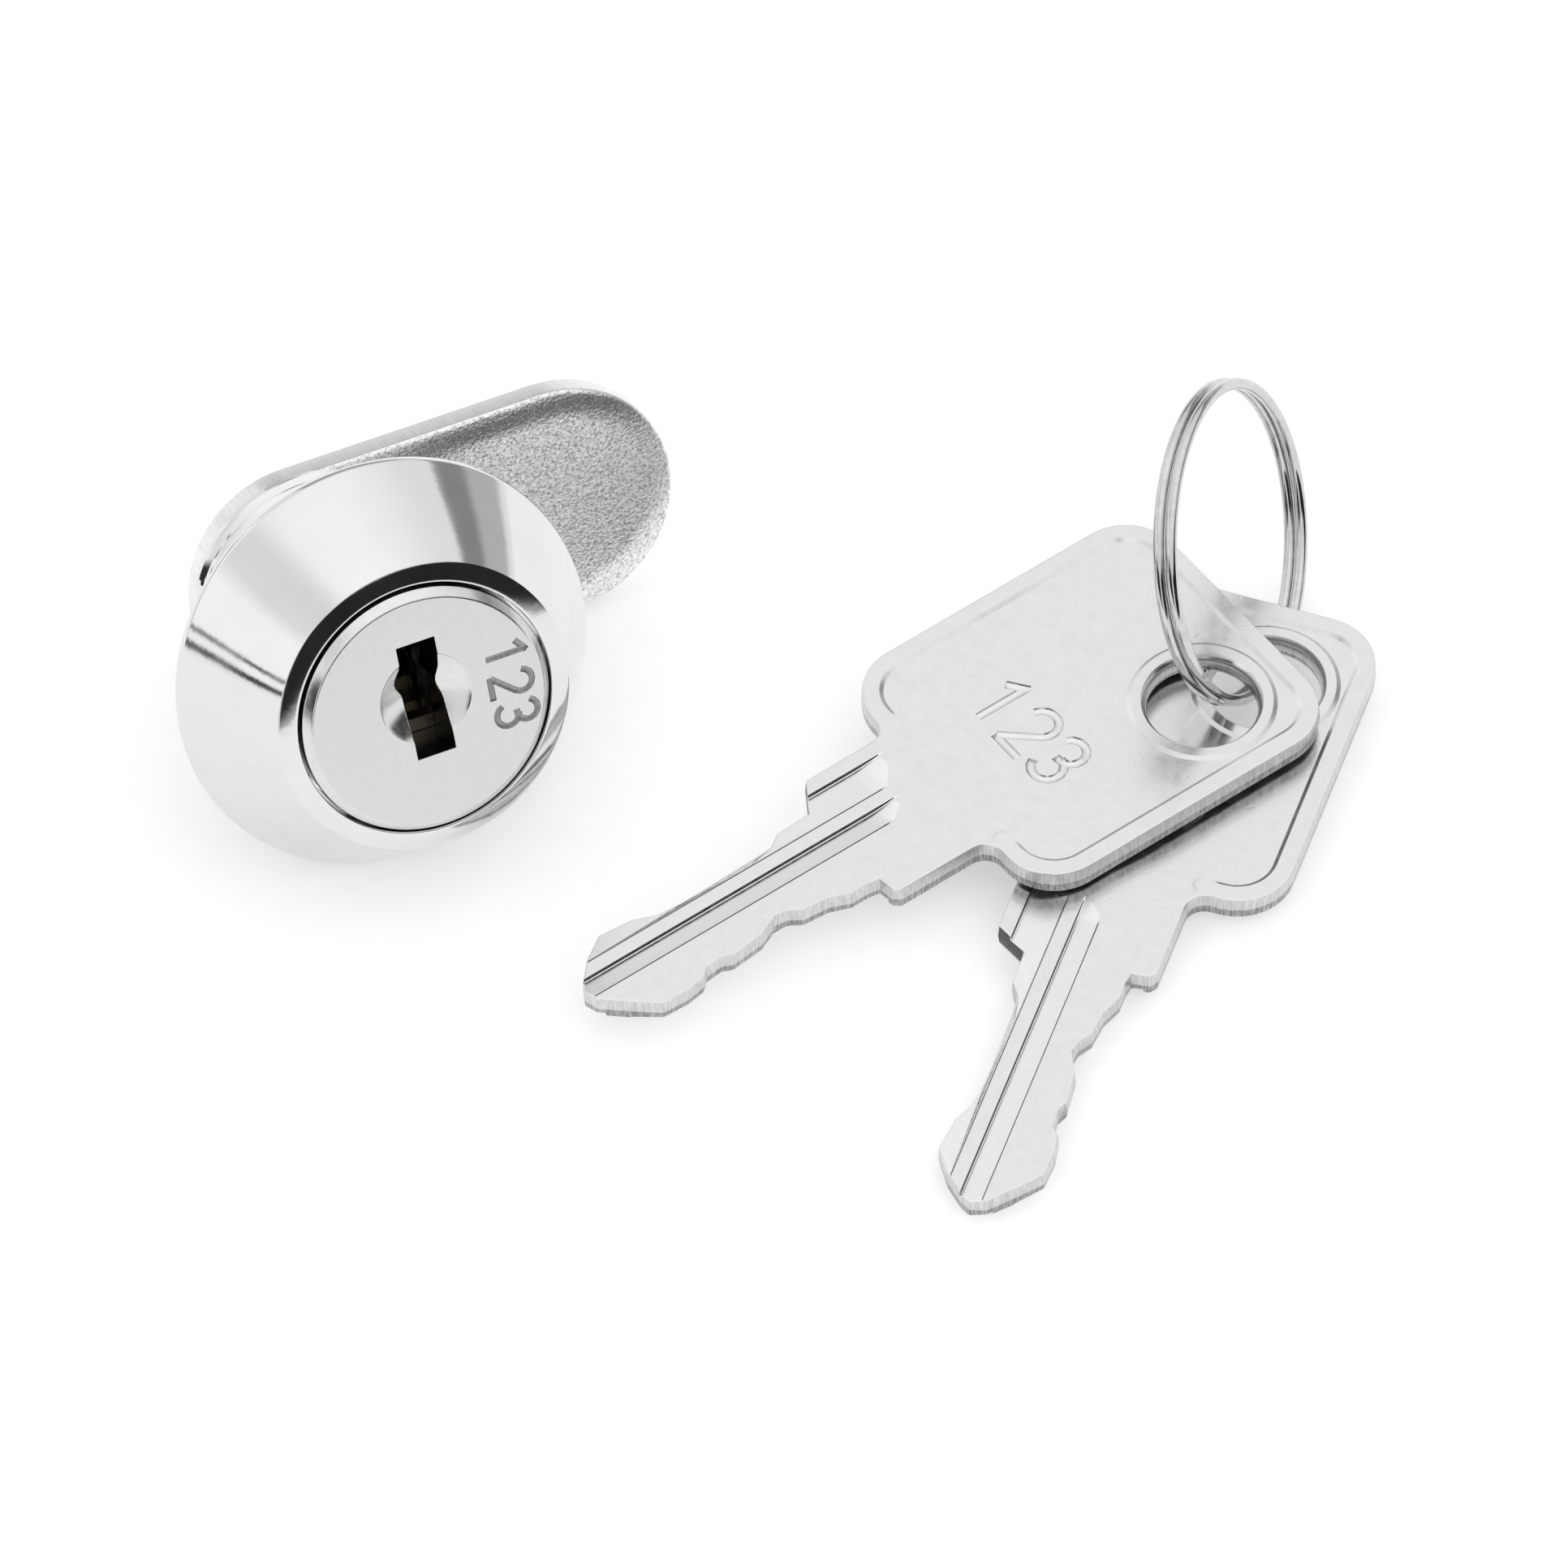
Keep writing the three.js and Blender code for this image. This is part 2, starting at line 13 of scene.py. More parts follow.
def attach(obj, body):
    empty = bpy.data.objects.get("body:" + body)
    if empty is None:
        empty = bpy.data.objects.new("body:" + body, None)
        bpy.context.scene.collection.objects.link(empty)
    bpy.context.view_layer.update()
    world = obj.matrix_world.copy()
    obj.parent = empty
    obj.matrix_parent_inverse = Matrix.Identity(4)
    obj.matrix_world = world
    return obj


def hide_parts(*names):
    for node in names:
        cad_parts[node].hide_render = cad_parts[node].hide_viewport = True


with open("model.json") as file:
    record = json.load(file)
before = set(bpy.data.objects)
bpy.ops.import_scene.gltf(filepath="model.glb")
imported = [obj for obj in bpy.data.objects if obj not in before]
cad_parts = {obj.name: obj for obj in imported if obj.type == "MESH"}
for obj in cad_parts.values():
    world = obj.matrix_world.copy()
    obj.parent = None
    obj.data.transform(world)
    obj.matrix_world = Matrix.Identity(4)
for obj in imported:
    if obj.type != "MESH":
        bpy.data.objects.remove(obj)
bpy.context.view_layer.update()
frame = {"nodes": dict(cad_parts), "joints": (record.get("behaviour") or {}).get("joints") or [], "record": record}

MM = 0.001
JOINTS = {joint["name"]: joint for joint in frame["joints"]}

# ---- How the pieces lie, in degrees ----
KEY_2_TURN = 46.51
KEY_1_TURN = -34.38
RING_LEAN = 19.08
RING_TURN = 47.41

# ---- How many columns a turned body has ----
HOUSING_COLUMNS = 192
PLUG_COLUMNS = 160
CUT_COLUMNS = 96

# ---- Which way a face looks, as the size of a part of its normal ----
UPRIGHT = 0.3
CAM_UPRIGHT = 0.6
FACING = 0.5
NEARLY_LEVEL = (0.85, 0.9999)

# ---- Lock sizes, along its axis from the bezel's back face ----
BEZEL_R = 12.5
BEZEL_RIM = 0.6
CONE_BELLY = 0.05
CONE_STEPS = 24
FRONT_RING_R = 8.85
FRONT_RING_RISE = 0.15
FRONT_RING_SLOPE = 0.13
FRONT_RING_CROWN = 0.06
FRONT_RING_STEPS = 8
FRONT_Z = 7.1
HEAD_BORE_R = 7.7
HEAD_BORE_Z = 5.4
BORE_R = 6.05
BARREL_R = 8.0
BARREL_FLAT = 7.0
BARREL_END = -9.4
STOP_END = -10.5
STOP_INNER_R = 6.4
STOP_FROM = 330
STOP_TO = 570
SEAT_R = 9.0
SEAT_RELIEF = 0.5
THREAD_PITCH = 1.0
THREAD_DEPTH = 0.5
THREAD_STEPS = 10
CHANNEL_R = 7.1
CHANNEL_HALF_WIDTH = 3.3
CHANNEL_LOW = -6.75

PLUG_R = 5.9
PLUG_HEAD_R = 7.5
PLUG_FACE_R = 7.05
PLUG_FACE_Z = 7.8
PLUG_BEVEL = 0.45
TANG_R = 4.5
TANG_FLAT = 3.8
TANG_END = -12.5
FLAT_CUT_REACH = 6
STUD_R = 2.5
STUD_END = -16.0
STUD_PITCH = 0.8
STUD_THREAD_DEPTH = 0.3
DOUBLE_D_R = 4.6
DOUBLE_D_FLAT = 3.9
KEYWAY_Y = 0.85
KEYWAY_HALF_WIDTH = 1.175
KEYWAY_HALF_HEIGHT = 3.62
KEYWAY_BULGE = 0.42
KEYWAY_DIP = 0.25
KEYWAY_CURVE = 2.3
KEYWAY_CURVE_STEPS = 8
DIP_START = -0.6
BULGE_START = 2.4
KEYWAY_REACH = 1.75
KEYWAY_SHADE_DEPTH = 1.1
KEYWAY_END = -9.0
TIP_POCKET_HALF_WIDTH = 1.05
TIP_POCKET_LOW = -2.1
TIP_POCKET_HIGH = 3.8
TIP_POCKET_END = -11.6
DISH_R = 2.72
DISH_DEPTH = 0.9
DISH_LIP = 0.06
DISH_STEPS = 12
WAFER_COUNT = 6
WAFER_PITCH = 1.95
FIRST_WAFER_Z = 4.0
SLOT_HALF_WIDTH = 3.15
SLOT_HALF_GAP = 0.6
SLOT_REACH = 7
SPRING_POCKET_X = (3, 4.7)
SPRING_POCKET_Y = (-2.9, 2.5)
SPRING_POCKET_HALF_GAP = 0.7
RETAINER_Z = -7.8
RETAINER_ANGLE = 30
RETAINER_SLOT_HALF_WIDTH = 1.6
RETAINER_SLOT_START = 2.4
RETAINER_SLOT_HALF_GAP = 0.65
PLUG_NUMBER = {
    "cx": 5.13, "cy": 0, "z": PLUG_FACE_Z, "height": 2.5, "pitch": 1.9, "half_width": 0.19, "depth": 0.12,
}
NUMBER_START_X = 3.4
NUMBER_REACH = 6.9

CAM_FRONT = -10.8
CAM_THICKNESS = 2.0
CAM_HALF_WIDTH = 7.0
CAM_REACH = 15.7
CAM_ROLL = 1.9
CAM_ROLL_START = 0.12
CAM_ROLL_DROP = 0.3
CAM_ROLL_STEPS = 10

MOUNTING_NUT = {"flats": 17.9, "turn": 29, "hole": 8.05, "front": -2.3, "thickness": 1.6}
CAM_NUT = {"flats": 8, "turn": 0, "hole": 2.52, "front": -13.7, "thickness": 2}
NUT_CUT_PAST = 0.5
NUT_BORE_BREAK = 0.25

# ---- Key sizes, from the tip to the end of the bow ----
KEY_THICKNESS = 1.6
KEY_LENGTH = 46.3
BOW_START = 24.6
BOW_HALF_WIDTH = 9.74
BOW_CORNER_R = 3.4
SHOULDER = 18.7
SHANK_TOP = 4.95
SHANK_BOTTOM = -4.7
NECK_R = 1.2
HOLE_X = 40.5
HOLE_Y = -4.0
HOLE_R = 3.25
BOSS_R = 4.25
RIM_WIDTH = 1.1
FIELD_DEPTH = 0.16
FIELD_SLOPE = 0.12
FIELD_FADE = (-0.3, 1.2)
FADE_HALF_LENGTH = 5.6
FADE_EDGE = 5.4
FADE_EDGE_WIDTH = 1.8
FADE_STEPS = 24
GROOVE_DEPTH = 0.28
GROOVE_FOOT = 0.06
MAIN_GROOVE = (0.93, -0.4)
MAIN_GROOVE_END = 22.4
EDGE_GROOVE = (4.0, 1.83)
EDGE_GROOVE_END = 23.6
GROOVE_WALL_REACH = 0.1
SURFACE_SKIN = 0.03
RUN_OUT = 2.6
RUN_OUT_STEPS = 6
SHEAR_BULGE = 0.07
SHEAR_LINE = 0.45
TOP_CUTS = [
    (0, 0.93), (1.05, 2.04), (2.65, 3.09), (4.8, 2.87), (6.1, 2.27), (7.8, 2.11), (10, 2.05),
    (12.3, 1.93), (13.1, 2.18), (14.25, 2.3), (15.15, 2.9), (17.5, 3),
]
BOTTOM_CUTS = [
    (-0.4, 0.25), (-0.15, -0.65), (1.25, -1.93), (2.65, -3.12), (4.3, -3.21), (5.5, -3.02), (6.1, -2.52),
    (7.2, -2.42), (7.85, -2.72), (10, -2.52), (11.4, -1.88), (12.2, -1.98), (13, -2.52), (14.6, -2.67),
    (15.9, -3.21), (17.1, -3.21),
]
LOWER_SHOULDER = [(17.8, -3.35), (17.95, -4.4), (18.35, SHANK_BOTTOM)]
HOLE_ROUNDING = 0.3
HOLE_STEPS = 12
KEY_NUMBER = {
    "cx": 31.3, "cy": 0.2, "z": KEY_THICKNESS - FIELD_DEPTH, "height": 3.6, "pitch": 2.65,
    "half_width": 0.28, "depth": 0.18,
}

RING_R = 9.155
WIRE_R = 0.35
COIL_OFFSET = 0.38
RING_CROSSING = 15
RING_END_GAP = 3
RING_STEPS = 320
WIRE_SIDES = 16


# ---- Places, from the joints of the frame ----
def frame_at(origin, x_axis, z_axis):
    """A matrix from a piece's own millimetres to the row frame's metres."""
    z = Vector(z_axis).normalized()
    x = Vector(x_axis)
    x = (x - z * x.dot(z)).normalized()
    turn = Matrix((x, z.cross(x), z)).transposed().to_4x4()
    return Matrix.Translation(Vector(origin)) @ turn @ Matrix.Scale(MM, 4)


def lock_place():
    joint = JOINTS["plug_turn"]
    return frame_at(joint["pos_m"], (1, 0, 0), joint["axis"])


def key_place(name, turn):
    """A key lies in the plane that its swivel turns in, with its hole round the swivel's axis."""
    joint = JOINTS[name + "_swivel"]
    heading = math.radians(KEY_2_TURN)
    placed = frame_at(joint["pos_m"], (math.cos(heading), math.sin(heading), 0), joint["axis"])
    return placed @ Matrix.Rotation(math.radians(turn), 4, "Z") @ Matrix.Translation((-HOLE_X, -HOLE_Y, 0))


def ring_place():
    """The ring stands round the middle of its opening, its axis leaning."""
    low, high = frame["record"]["physics"]["openings"][0]["box_m"]
    middle = (Vector(low) + Vector(high)) / 2
    stand = Matrix.Rotation(math.pi / 2 - math.radians(RING_LEAN), 4, "X")
    heading = Matrix.Rotation(math.radians(RING_TURN), 4, "Z")
    return Matrix.Translation(middle) @ heading @ stand @ Matrix.Scale(MM, 4)


# ---- Mesh helpers: every mesh is built in its own millimetres, and placed in the frame at the end ----
def polar(radius, degrees):
    angle = math.radians(degrees)
    return (radius * math.cos(angle), radius * math.sin(angle))


def eased(share):
    """A share from 0 to 1, eased at both ends."""
    return share * share * (3 - 2 * share)


def arc(cx, cy, radius, start, end, steps):
    turns = [start + (end - start) * i / steps for i in range(steps + 1)]
    return [(cx + x, cy + y) for x, y in (polar(radius, degrees) for degrees in turns)]


def new_object(name, verts, faces):
    mesh = bpy.data.meshes.new(name)
    mesh.from_pydata(verts, [], faces)
    mesh.update()
    obj = bpy.data.objects.new(name, mesh)
    bpy.context.scene.collection.objects.link(obj)
    return obj


def clean(obj, distance=1e-5):
    """Merges doubled points, drops empty faces and turns every face outwards."""
    bm = bmesh.new()
    bm.from_mesh(obj.data)
    bmesh.ops.remove_doubles(bm, verts=bm.verts, dist=distance)
    bmesh.ops.dissolve_degenerate(bm, edges=bm.edges, dist=distance)
    bmesh.ops.recalc_face_normals(bm, faces=bm.faces)
    bm.to_mesh(obj.data)
    bm.free()
    return obj


def loops_solid(name, loops, closed=False):
    """A body through loops of points. A loop of one point is a pole, and open ends get flat caps."""
    verts = []
    rings = []
    count = max(len(loop) for loop in loops)
    for loop in loops:
        if len(loop) == 1:
            rings.append([len(verts)] * count)
        else:
            rings.append(list(range(len(verts), len(verts) + count)))
        verts += loop
    faces = []
    after = rings[1:] + (rings[:1] if closed else [])
    for low, high in zip(rings, after):
        for i in range(count):
            j = (i + 1) % count
            corners = list(dict.fromkeys((low[i], low[j], high[j], high[i])))
            if len(corners) > 2:
                faces.append(corners)
    if not closed:
        faces += [ring for ring in (rings[0][::-1], rings[-1]) if ring[0] != ring[1]]
    return clean(new_object(name, verts, faces))


def even_columns(count):
    return [360 * i / count for i in range(count)]


def turned(name, rows, columns, closed=False):
    """A body turned about z. Each row is a radius and a height, or a function of the angle for either."""
    def value(item, degrees):
        return item(degrees) if callable(item) else item

    loops = []
    for radius, z in rows:
        if radius == 0:
            loops.append([(0, 0, z)])
        else:
            loops.append([(*polar(value(radius, turn), turn), value(z, turn)) for turn in columns])
    return loops_solid(name, loops, closed)


def prism(name, outline, low, high):
    return loops_solid(name, [[(x, y, z) for x, y in outline] for z in (low, high)])


def bar_along_x(name, outline, stations):
    """An outline of (y, z) points drawn through stations of (x, lift), so that a cut can run out."""
    return loops_solid(name, [[(x, y, z + lift) for y, z in outline] for x, lift in stations])


def box(name, x0, x1, y0, y1, z0, z1):
    return prism(name, [(x0, y0), (x1, y0), (x1, y1), (x0, y1)], z0, z1)


def moved(obj, x=0, y=0, z=0, turn=0):
    obj.data.transform(Matrix.Translation((x, y, z)) @ Matrix.Rotation(math.radians(turn), 4, "Z"))
    return obj


def apply_modifiers(obj):
    graph = bpy.context.evaluated_depsgraph_get()
    mesh = bpy.data.meshes.new_from_object(obj.evaluated_get(graph))
    obj.modifiers.clear()
    old = obj.data
    obj.data = mesh
    bpy.data.meshes.remove(old)
    return obj


def boolean(obj, cutters, operation="DIFFERENCE"):
    """Cuts with each body in turn, or crosses with it, and removes the cutter."""
    for cutter in cutters:
        modifier = obj.modifiers.new("cut", "BOOLEAN")
        modifier.operation = operation
        modifier.solver = "EXACT"
        modifier.object = cutter
        apply_modifiers(obj)
        bpy.data.objects.remove(cutter)
    return clean(obj)


def smooth(obj, angle=32):
    """Shades smoothly between sharp edges, and keeps the flat faces flat."""
    for polygon in obj.data.polygons:
        polygon.use_smooth = True
    obj.data.set_sharp_from_angle(angle=math.radians(angle))
    weighted = obj.modifiers.new("weighted", "WEIGHTED_NORMAL")
    weighted.keep_sharp = True
    return apply_modifiers(obj)


def soften(obj, width, segments=2, angle=32):
    """Rounds the sharp edges by a small radius."""
    bevel = obj.modifiers.new("soften", "BEVEL")
    bevel.width = width
    bevel.segments = segments
    bevel.limit_method = "ANGLE"
    bevel.angle_limit = math.radians(angle)
    bevel.use_clamp_overlap = False
    apply_modifiers(obj)
    return clean(obj, 1e-4)


# ---- Stamped numbers ----
DIGIT_BOWL = 0.27


def mitre(path, i):
    """The sideways vector at a corner of a path, long enough to keep the stroke's width."""
    before = (path[i] - path[max(i - 1, 0)]) if i else (path[1] - path[0])
    after = (path[i + 1] - path[i]) if i < len(path) - 1 else before
    a, b = before.normalized(), after.normalized()
    along = (a + b).normalized()
    return Vector((-along.y, along.x)) / max(along.dot(a), 0.6)


def stroke(name, points, half_width, depth):
    """A cutter for a stamped groove along a path, its floor rounded and its top well above z = 0."""
    path = [Vector(point) for point in points]
    right_half = [(0.35, -0.95), (0.78, -0.6), (1, 0), (1.1, 1.0)]
    section = [(-side, up) for side, up in right_half[::-1]] + right_half
    loops = []
    for i, spot in enumerate(path):
        side = mitre(path, i)
        loops.append([(*(spot + side * half_width * s), depth * d) for s, d in section])
    return loops_solid(name, loops)


def digit_strokes(digit, height):
    """The strokes of a plain 1, 2 or 3, centred on the origin, as (right, up) points."""
    half = height / 2
    bowl = height * DIGIT_BOWL
    if digit == 1:
        return [[(0, half), (0, -half)], [(-bowl, half * 0.5), (0.05 * height, half)]]
    if digit == 2:
        top = arc(0, half - bowl, bowl, 170, -35, 9)
        return [top + [(-bowl, -half + 0.02 * height)], [(-bowl * 1.1, -half), (bowl * 1.1, -half)]]
    upper = arc(0, half - bowl * 0.93, bowl * 0.93, 160, -90, 10)
    lower = arc(0, -half + bowl, bowl, 90, -160, 10)
    return [upper + [(-bowl * 0.3, half - bowl * 1.86)], lower]


def number_cutters(name, cx, cy, z, height, pitch, half_width, depth):
    """Cutters for the number 123, its digits side by side towards -y with their tops towards +x."""
    made = []
    for i, digit in enumerate((1, 2, 3)):
        for j, path in enumerate(digit_strokes(digit, height)):
            points = [(cx + up, cy - (i - 1) * pitch - right) for right, up in path]
            made.append(moved(stroke(f"{name}_{digit}_{j}", points, half_width, depth), z=z))
    return made


# ---- Lock pieces ----
def flat_limit(radius, degrees):
    """A barrel radius, held inside the two flats."""
    return min(radius, BARREL_FLAT / max(abs(math.cos(math.radians(degrees))), 1e-6))


def thread_rows(low, high, outer, depth, pitch, limit):
    """A rounded V thread from one height to another, its radius a function of the angle."""
    def radius_at(z):
        def radius(degrees):
            wave = 0.5 + 0.5 * math.cos(2 * math.pi * (z / pitch + degrees / 360))
            return limit(outer - depth * (1 - wave ** 0.8), degrees)
        return radius

    steps = round(abs(high - low) / pitch * THREAD_STEPS)
    heights = [low + (high - low) * i / steps for i in range(steps + 1)]
    return [(radius_at(z), z) for z in heights]


def root_radius(degrees):
    return flat_limit(BARREL_R - THREAD_DEPTH, degrees)


def barrel_end(degrees):
    return STOP_END if STOP_FROM <= degrees or degrees <= STOP_TO - 360 else BARREL_END


def front_ring_rows():
    """The front ring's crowned face, falling faster towards the cone."""
    start = HEAD_BORE_R + 0.1
    width = FRONT_RING_R - 0.07 - start
    rows = []
    for i in range(FRONT_RING_STEPS + 1):
        across = width * i / FRONT_RING_STEPS
        fall = FRONT_RING_SLOPE * across + FRONT_RING_CROWN * across ** 2
        rows.append((start + across, FRONT_Z + FRONT_RING_RISE - fall))
    return rows


def cone_rows():
    """The bezel's cone, very slightly bellied."""
    top_r = FRONT_RING_R + 0.04
    top_z = FRONT_Z - 0.13
    rows = []
    for i in range(CONE_STEPS + 1):
        share = i / CONE_STEPS
        belly = CONE_BELLY * math.sin(math.pi * share)
        radius = top_r + (BEZEL_R - 0.06 - top_r) * share + belly
        rows.append((radius, top_z + (BEZEL_RIM - top_z) * share))
    return rows


def build_housing():
    edges = [STOP_FROM - 0.1, STOP_FROM + 0.1, STOP_TO - 360.1, STOP_TO - 359.9]
    top = SEAT_RELIEF - 0.7
    thread = thread_rows(top, BARREL_END + 0.1, BARREL_R, THREAD_DEPTH, THREAD_PITCH, flat_limit)
    rows = [
        (BORE_R, BARREL_END), (BORE_R, HEAD_BORE_Z), (HEAD_BORE_R, HEAD_BORE_Z),
        (HEAD_BORE_R, FRONT_Z - 0.06), (HEAD_BORE_R, FRONT_Z + 0.09), (HEAD_BORE_R + 0.04, FRONT_Z + 0.14),
        *front_ring_rows(), (FRONT_RING_R, FRONT_Z - 0.06), *cone_rows(),
        (BEZEL_R, BEZEL_RIM - 0.12), (BEZEL_R, 0.14), (BEZEL_R - 0.05, 0.04), (BEZEL_R - 0.14, 0),
        (SEAT_R, 0), (SEAT_R, SEAT_RELIEF), (root_radius, SEAT_RELIEF), *thread,
        (root_radius, BARREL_END + 0.05), (root_radius, barrel_end), (STOP_INNER_R, barrel_end),
        (STOP_INNER_R, BARREL_END),
    ]
    housing = turned("housing_fine", rows, sorted(even_columns(HOUSING_COLUMNS) + edges), closed=True)
    channel_top = HEAD_BORE_Z - 0.4
    channel_rows = [(0, CHANNEL_LOW), (CHANNEL_R, CHANNEL_LOW), (CHANNEL_R, channel_top), (0, channel_top)]
    channel = turned("channel", channel_rows, even_columns(CUT_COLUMNS))
    wide = CHANNEL_HALF_WIDTH
    sides = box("channel_sides", -wide, wide, -BARREL_R, BARREL_R, BARREL_END, FRONT_Z)
    boolean(channel, [sides], "INTERSECT")
    return smooth(boolean(housing, [channel]), 28)


def keyway_outline():
    """The keyway's outline: its left edge bulges above the middle, and its right edge dips there."""
    w = KEYWAY_HALF_WIDTH
    h = KEYWAY_HALF_HEIGHT
    steps = KEYWAY_CURVE_STEPS
    points = [(-w, -h), (w, -h)]
    for i in range(steps + 1):
        dip = KEYWAY_DIP * math.sin(math.pi * i / steps) ** 2
        points.append((w - dip, DIP_START + KEYWAY_CURVE * i / steps))
    points += [(w, h), (-w, h)]
    for i in range(steps + 1):
        bulge = KEYWAY_BULGE * math.sin(math.pi * i / steps) ** 2
        points.append((-w - bulge, BULGE_START - KEYWAY_CURVE * i / steps))
    return [(x, y + KEYWAY_Y) for x, y in points]


def plug_body():
    face = PLUG_FACE_Z
    head_back = HEAD_BORE_Z + 0.3
    stud = thread_rows(STUD_END + 0.25, TANG_END - 0.1, STUD_R, STUD_THREAD_DEPTH, STUD_PITCH, no_limit)
    rows = [(0, STUD_END), (STUD_R - 0.5, STUD_END), *stud]
    rows += [
        (STUD_R - 0.3, TANG_END), (TANG_R - 0.15, TANG_END), (TANG_R, TANG_END + 0.15), (TANG_R, BARREL_END),
        (PLUG_R, BARREL_END), (PLUG_R, head_back), (PLUG_HEAD_R, head_back),
        (PLUG_HEAD_R, face - PLUG_BEVEL - 0.05), (PLUG_HEAD_R - 0.04, face - PLUG_BEVEL + 0.03),
        (PLUG_FACE_R + 0.07, face - 0.06), (PLUG_FACE_R - 0.02, face - 0.01), (PLUG_FACE_R - 0.1, face),
        (0, face),
    ]
    return turned("plug_fine", rows, even_columns(PLUG_COLUMNS))


def no_limit(radius, degrees):
    """A thread limit that leaves the radius as it is."""
    return radius


def dish_cutter():
    face = PLUG_FACE_Z
    rows = [(0, face - DISH_DEPTH)]
    for i in range(1, DISH_STEPS + 1):
        share = i / DISH_STEPS
        rows.append((DISH_R * share, face - DISH_LIP - (DISH_DEPTH - DISH_LIP) * (1 - share ** 1.5)))
    rows += [(DISH_R + DISH_LIP, face), (DISH_R + DISH_LIP, face + 1), (0, face + 1)]
    return moved(turned("dish", rows, even_columns(CUT_COLUMNS)), y=KEYWAY_Y)


def inner_cutters():
    """The pocket for the key's tip, the tang's flats, and the slots of the retainer and the wafers."""
    tip = TIP_POCKET_HALF_WIDTH
    wide = RETAINER_SLOT_HALF_WIDTH
    gap = RETAINER_SLOT_HALF_GAP
    flat_y = (-FLAT_CUT_REACH, FLAT_CUT_REACH)
    flat_z = (TANG_END - 0.5, BARREL_END - 0.05)
    retainer_slot = box("retainer_slot", -wide, wide, RETAINER_SLOT_START, SLOT_REACH,
                        RETAINER_Z - gap, RETAINER_Z + gap)
    cutters = [
        box("tip_pocket", -tip, tip, TIP_POCKET_LOW, TIP_POCKET_HIGH, TIP_POCKET_END, BARREL_END + 1),
        box("right_flat", TANG_FLAT, TANG_R + 1, *flat_y, *flat_z),
        box("left_flat", -TANG_R - 1, -TANG_FLAT, *flat_y, *flat_z),
        moved(retainer_slot, turn=RETAINER_ANGLE - 90),
    ]
    for i in range(WAFER_COUNT):
        z = FIRST_WAFER_Z - WAFER_PITCH * i
        slot_z = (z - SLOT_HALF_GAP, z + SLOT_HALF_GAP)
        pocket_z = (z - SPRING_POCKET_HALF_GAP, z + SPRING_POCKET_HALF_GAP)
        pocket = box(f"pocket_{i}", *SPRING_POCKET_X, *SPRING_POCKET_Y, *pocket_z)
        cutters.append(box(f"slot_{i}", -SLOT_HALF_WIDTH, SLOT_HALF_WIDTH, -SLOT_REACH, SLOT_REACH, *slot_z))
        cutters.append(moved(pocket, turn=180 * (i % 2)))
    return cutters


def finish_faces(obj, material, chosen):
    """Gives the faces that a test chooses, by centre and normal, a material of their own."""
    index = len(obj.data.materials)
    obj.data.materials.append(material)
    for polygon in obj.data.polygons:
        if chosen(polygon.center, polygon.normal):
            polygon.material_index = index


def in_keyway(centre, normal):
    """The keyway's walls near the face, and all that is inside the plug below them, which get painted shade."""
    if centre.z < PLUG_FACE_Z - KEYWAY_SHADE_DEPTH:
        return centre.xy.length < PLUG_R - 0.1 and centre.z > BARREL_END
    inside = abs(centre.x) < KEYWAY_REACH and abs(centre.y - KEYWAY_Y) < KEYWAY_HALF_HEIGHT + 0.1
    return inside and abs(normal.z) < UPRIGHT


def in_number(centre, normal):
    """The walls and floors of the digits stamped in the plug's face."""
    sunk = PLUG_FACE_Z - 0.3 < centre.z < PLUG_FACE_Z - 0.01
    return sunk and centre.x > NUMBER_START_X and centre.xy.length < NUMBER_REACH


def build_plug():
    plug = plug_body()
    boolean(plug, [dish_cutter(), prism("keyway", keyway_outline(), KEYWAY_END, PLUG_FACE_Z + 1)])
    soften(plug, 0.035, angle=50)
    boolean(plug, inner_cutters())
    boolean(plug, number_cutters("plug_number", **PLUG_NUMBER))
    smooth(plug)
    plug.data.materials.append(finishes["plug_metal"])
    # The keyway's walls and the plug's inside get a near black metal: painted shade in the keyway.
    finish_faces(plug, finishes["keyway_painted_shade"], in_keyway)
    finish_faces(plug, finishes["engraving"], in_number)
    return plug


def stadium_loop(inset, z, steps=40):
    radius = CAM_HALF_WIDTH - inset
    outline = arc(0, 0, radius, 90, 270, steps) + arc(CAM_REACH, 0, radius, -90, 90, steps)
    return [(x, y, z) for x, y in outline]


# The cam's edge is painted brighter than its face: painted light, over real sheared marks.
def on_cam_edge(centre, normal):
    return abs(normal.z) < CAM_UPRIGHT


def build_cam():
    """The cam: a stamped plate whose front rolls over softly to a crisp edge, painted brighter than the face as
    painted light.
    """
    back = CAM_FRONT - CAM_THICKNESS
    levels = [
        (0.12, back), (0.03, back + 0.03), (0, back + 0.12),
        (0, CAM_FRONT - 0.42), (0.05, CAM_FRONT - 0.34),
    ]
    for i in range(CAM_ROLL_STEPS + 1):
        inset = CAM_ROLL_START + (CAM_ROLL - CAM_ROLL_START) * i / CAM_ROLL_STEPS
        levels.append((inset, CAM_FRONT - CAM_ROLL_DROP * (1 - inset / CAM_ROLL) ** 2))
    cam = loops_solid("cam_fine", [stadium_loop(inset, z) for inset, z in levels])
    side = math.degrees(math.acos(DOUBLE_D_FLAT / DOUBLE_D_R))
    hole = arc(0, 0, DOUBLE_D_R, side, 180 - side, 24) + arc(0, 0, DOUBLE_D_R, 180 + side, 360 - side, 24)
    boolean(cam, [prism("cam_hole", hole, back - 1, CAM_FRONT + 1)])
    smooth(cam, 35)
    cam.data.materials.append(finishes["blasted_steel"])
    finish_faces(cam, finishes["cam_edge_painted_light"], on_cam_edge)
    return cam


def hexagon(flats, turn):
    return [polar(flats / math.sqrt(3), turn + 60 * i) for i in range(6)]


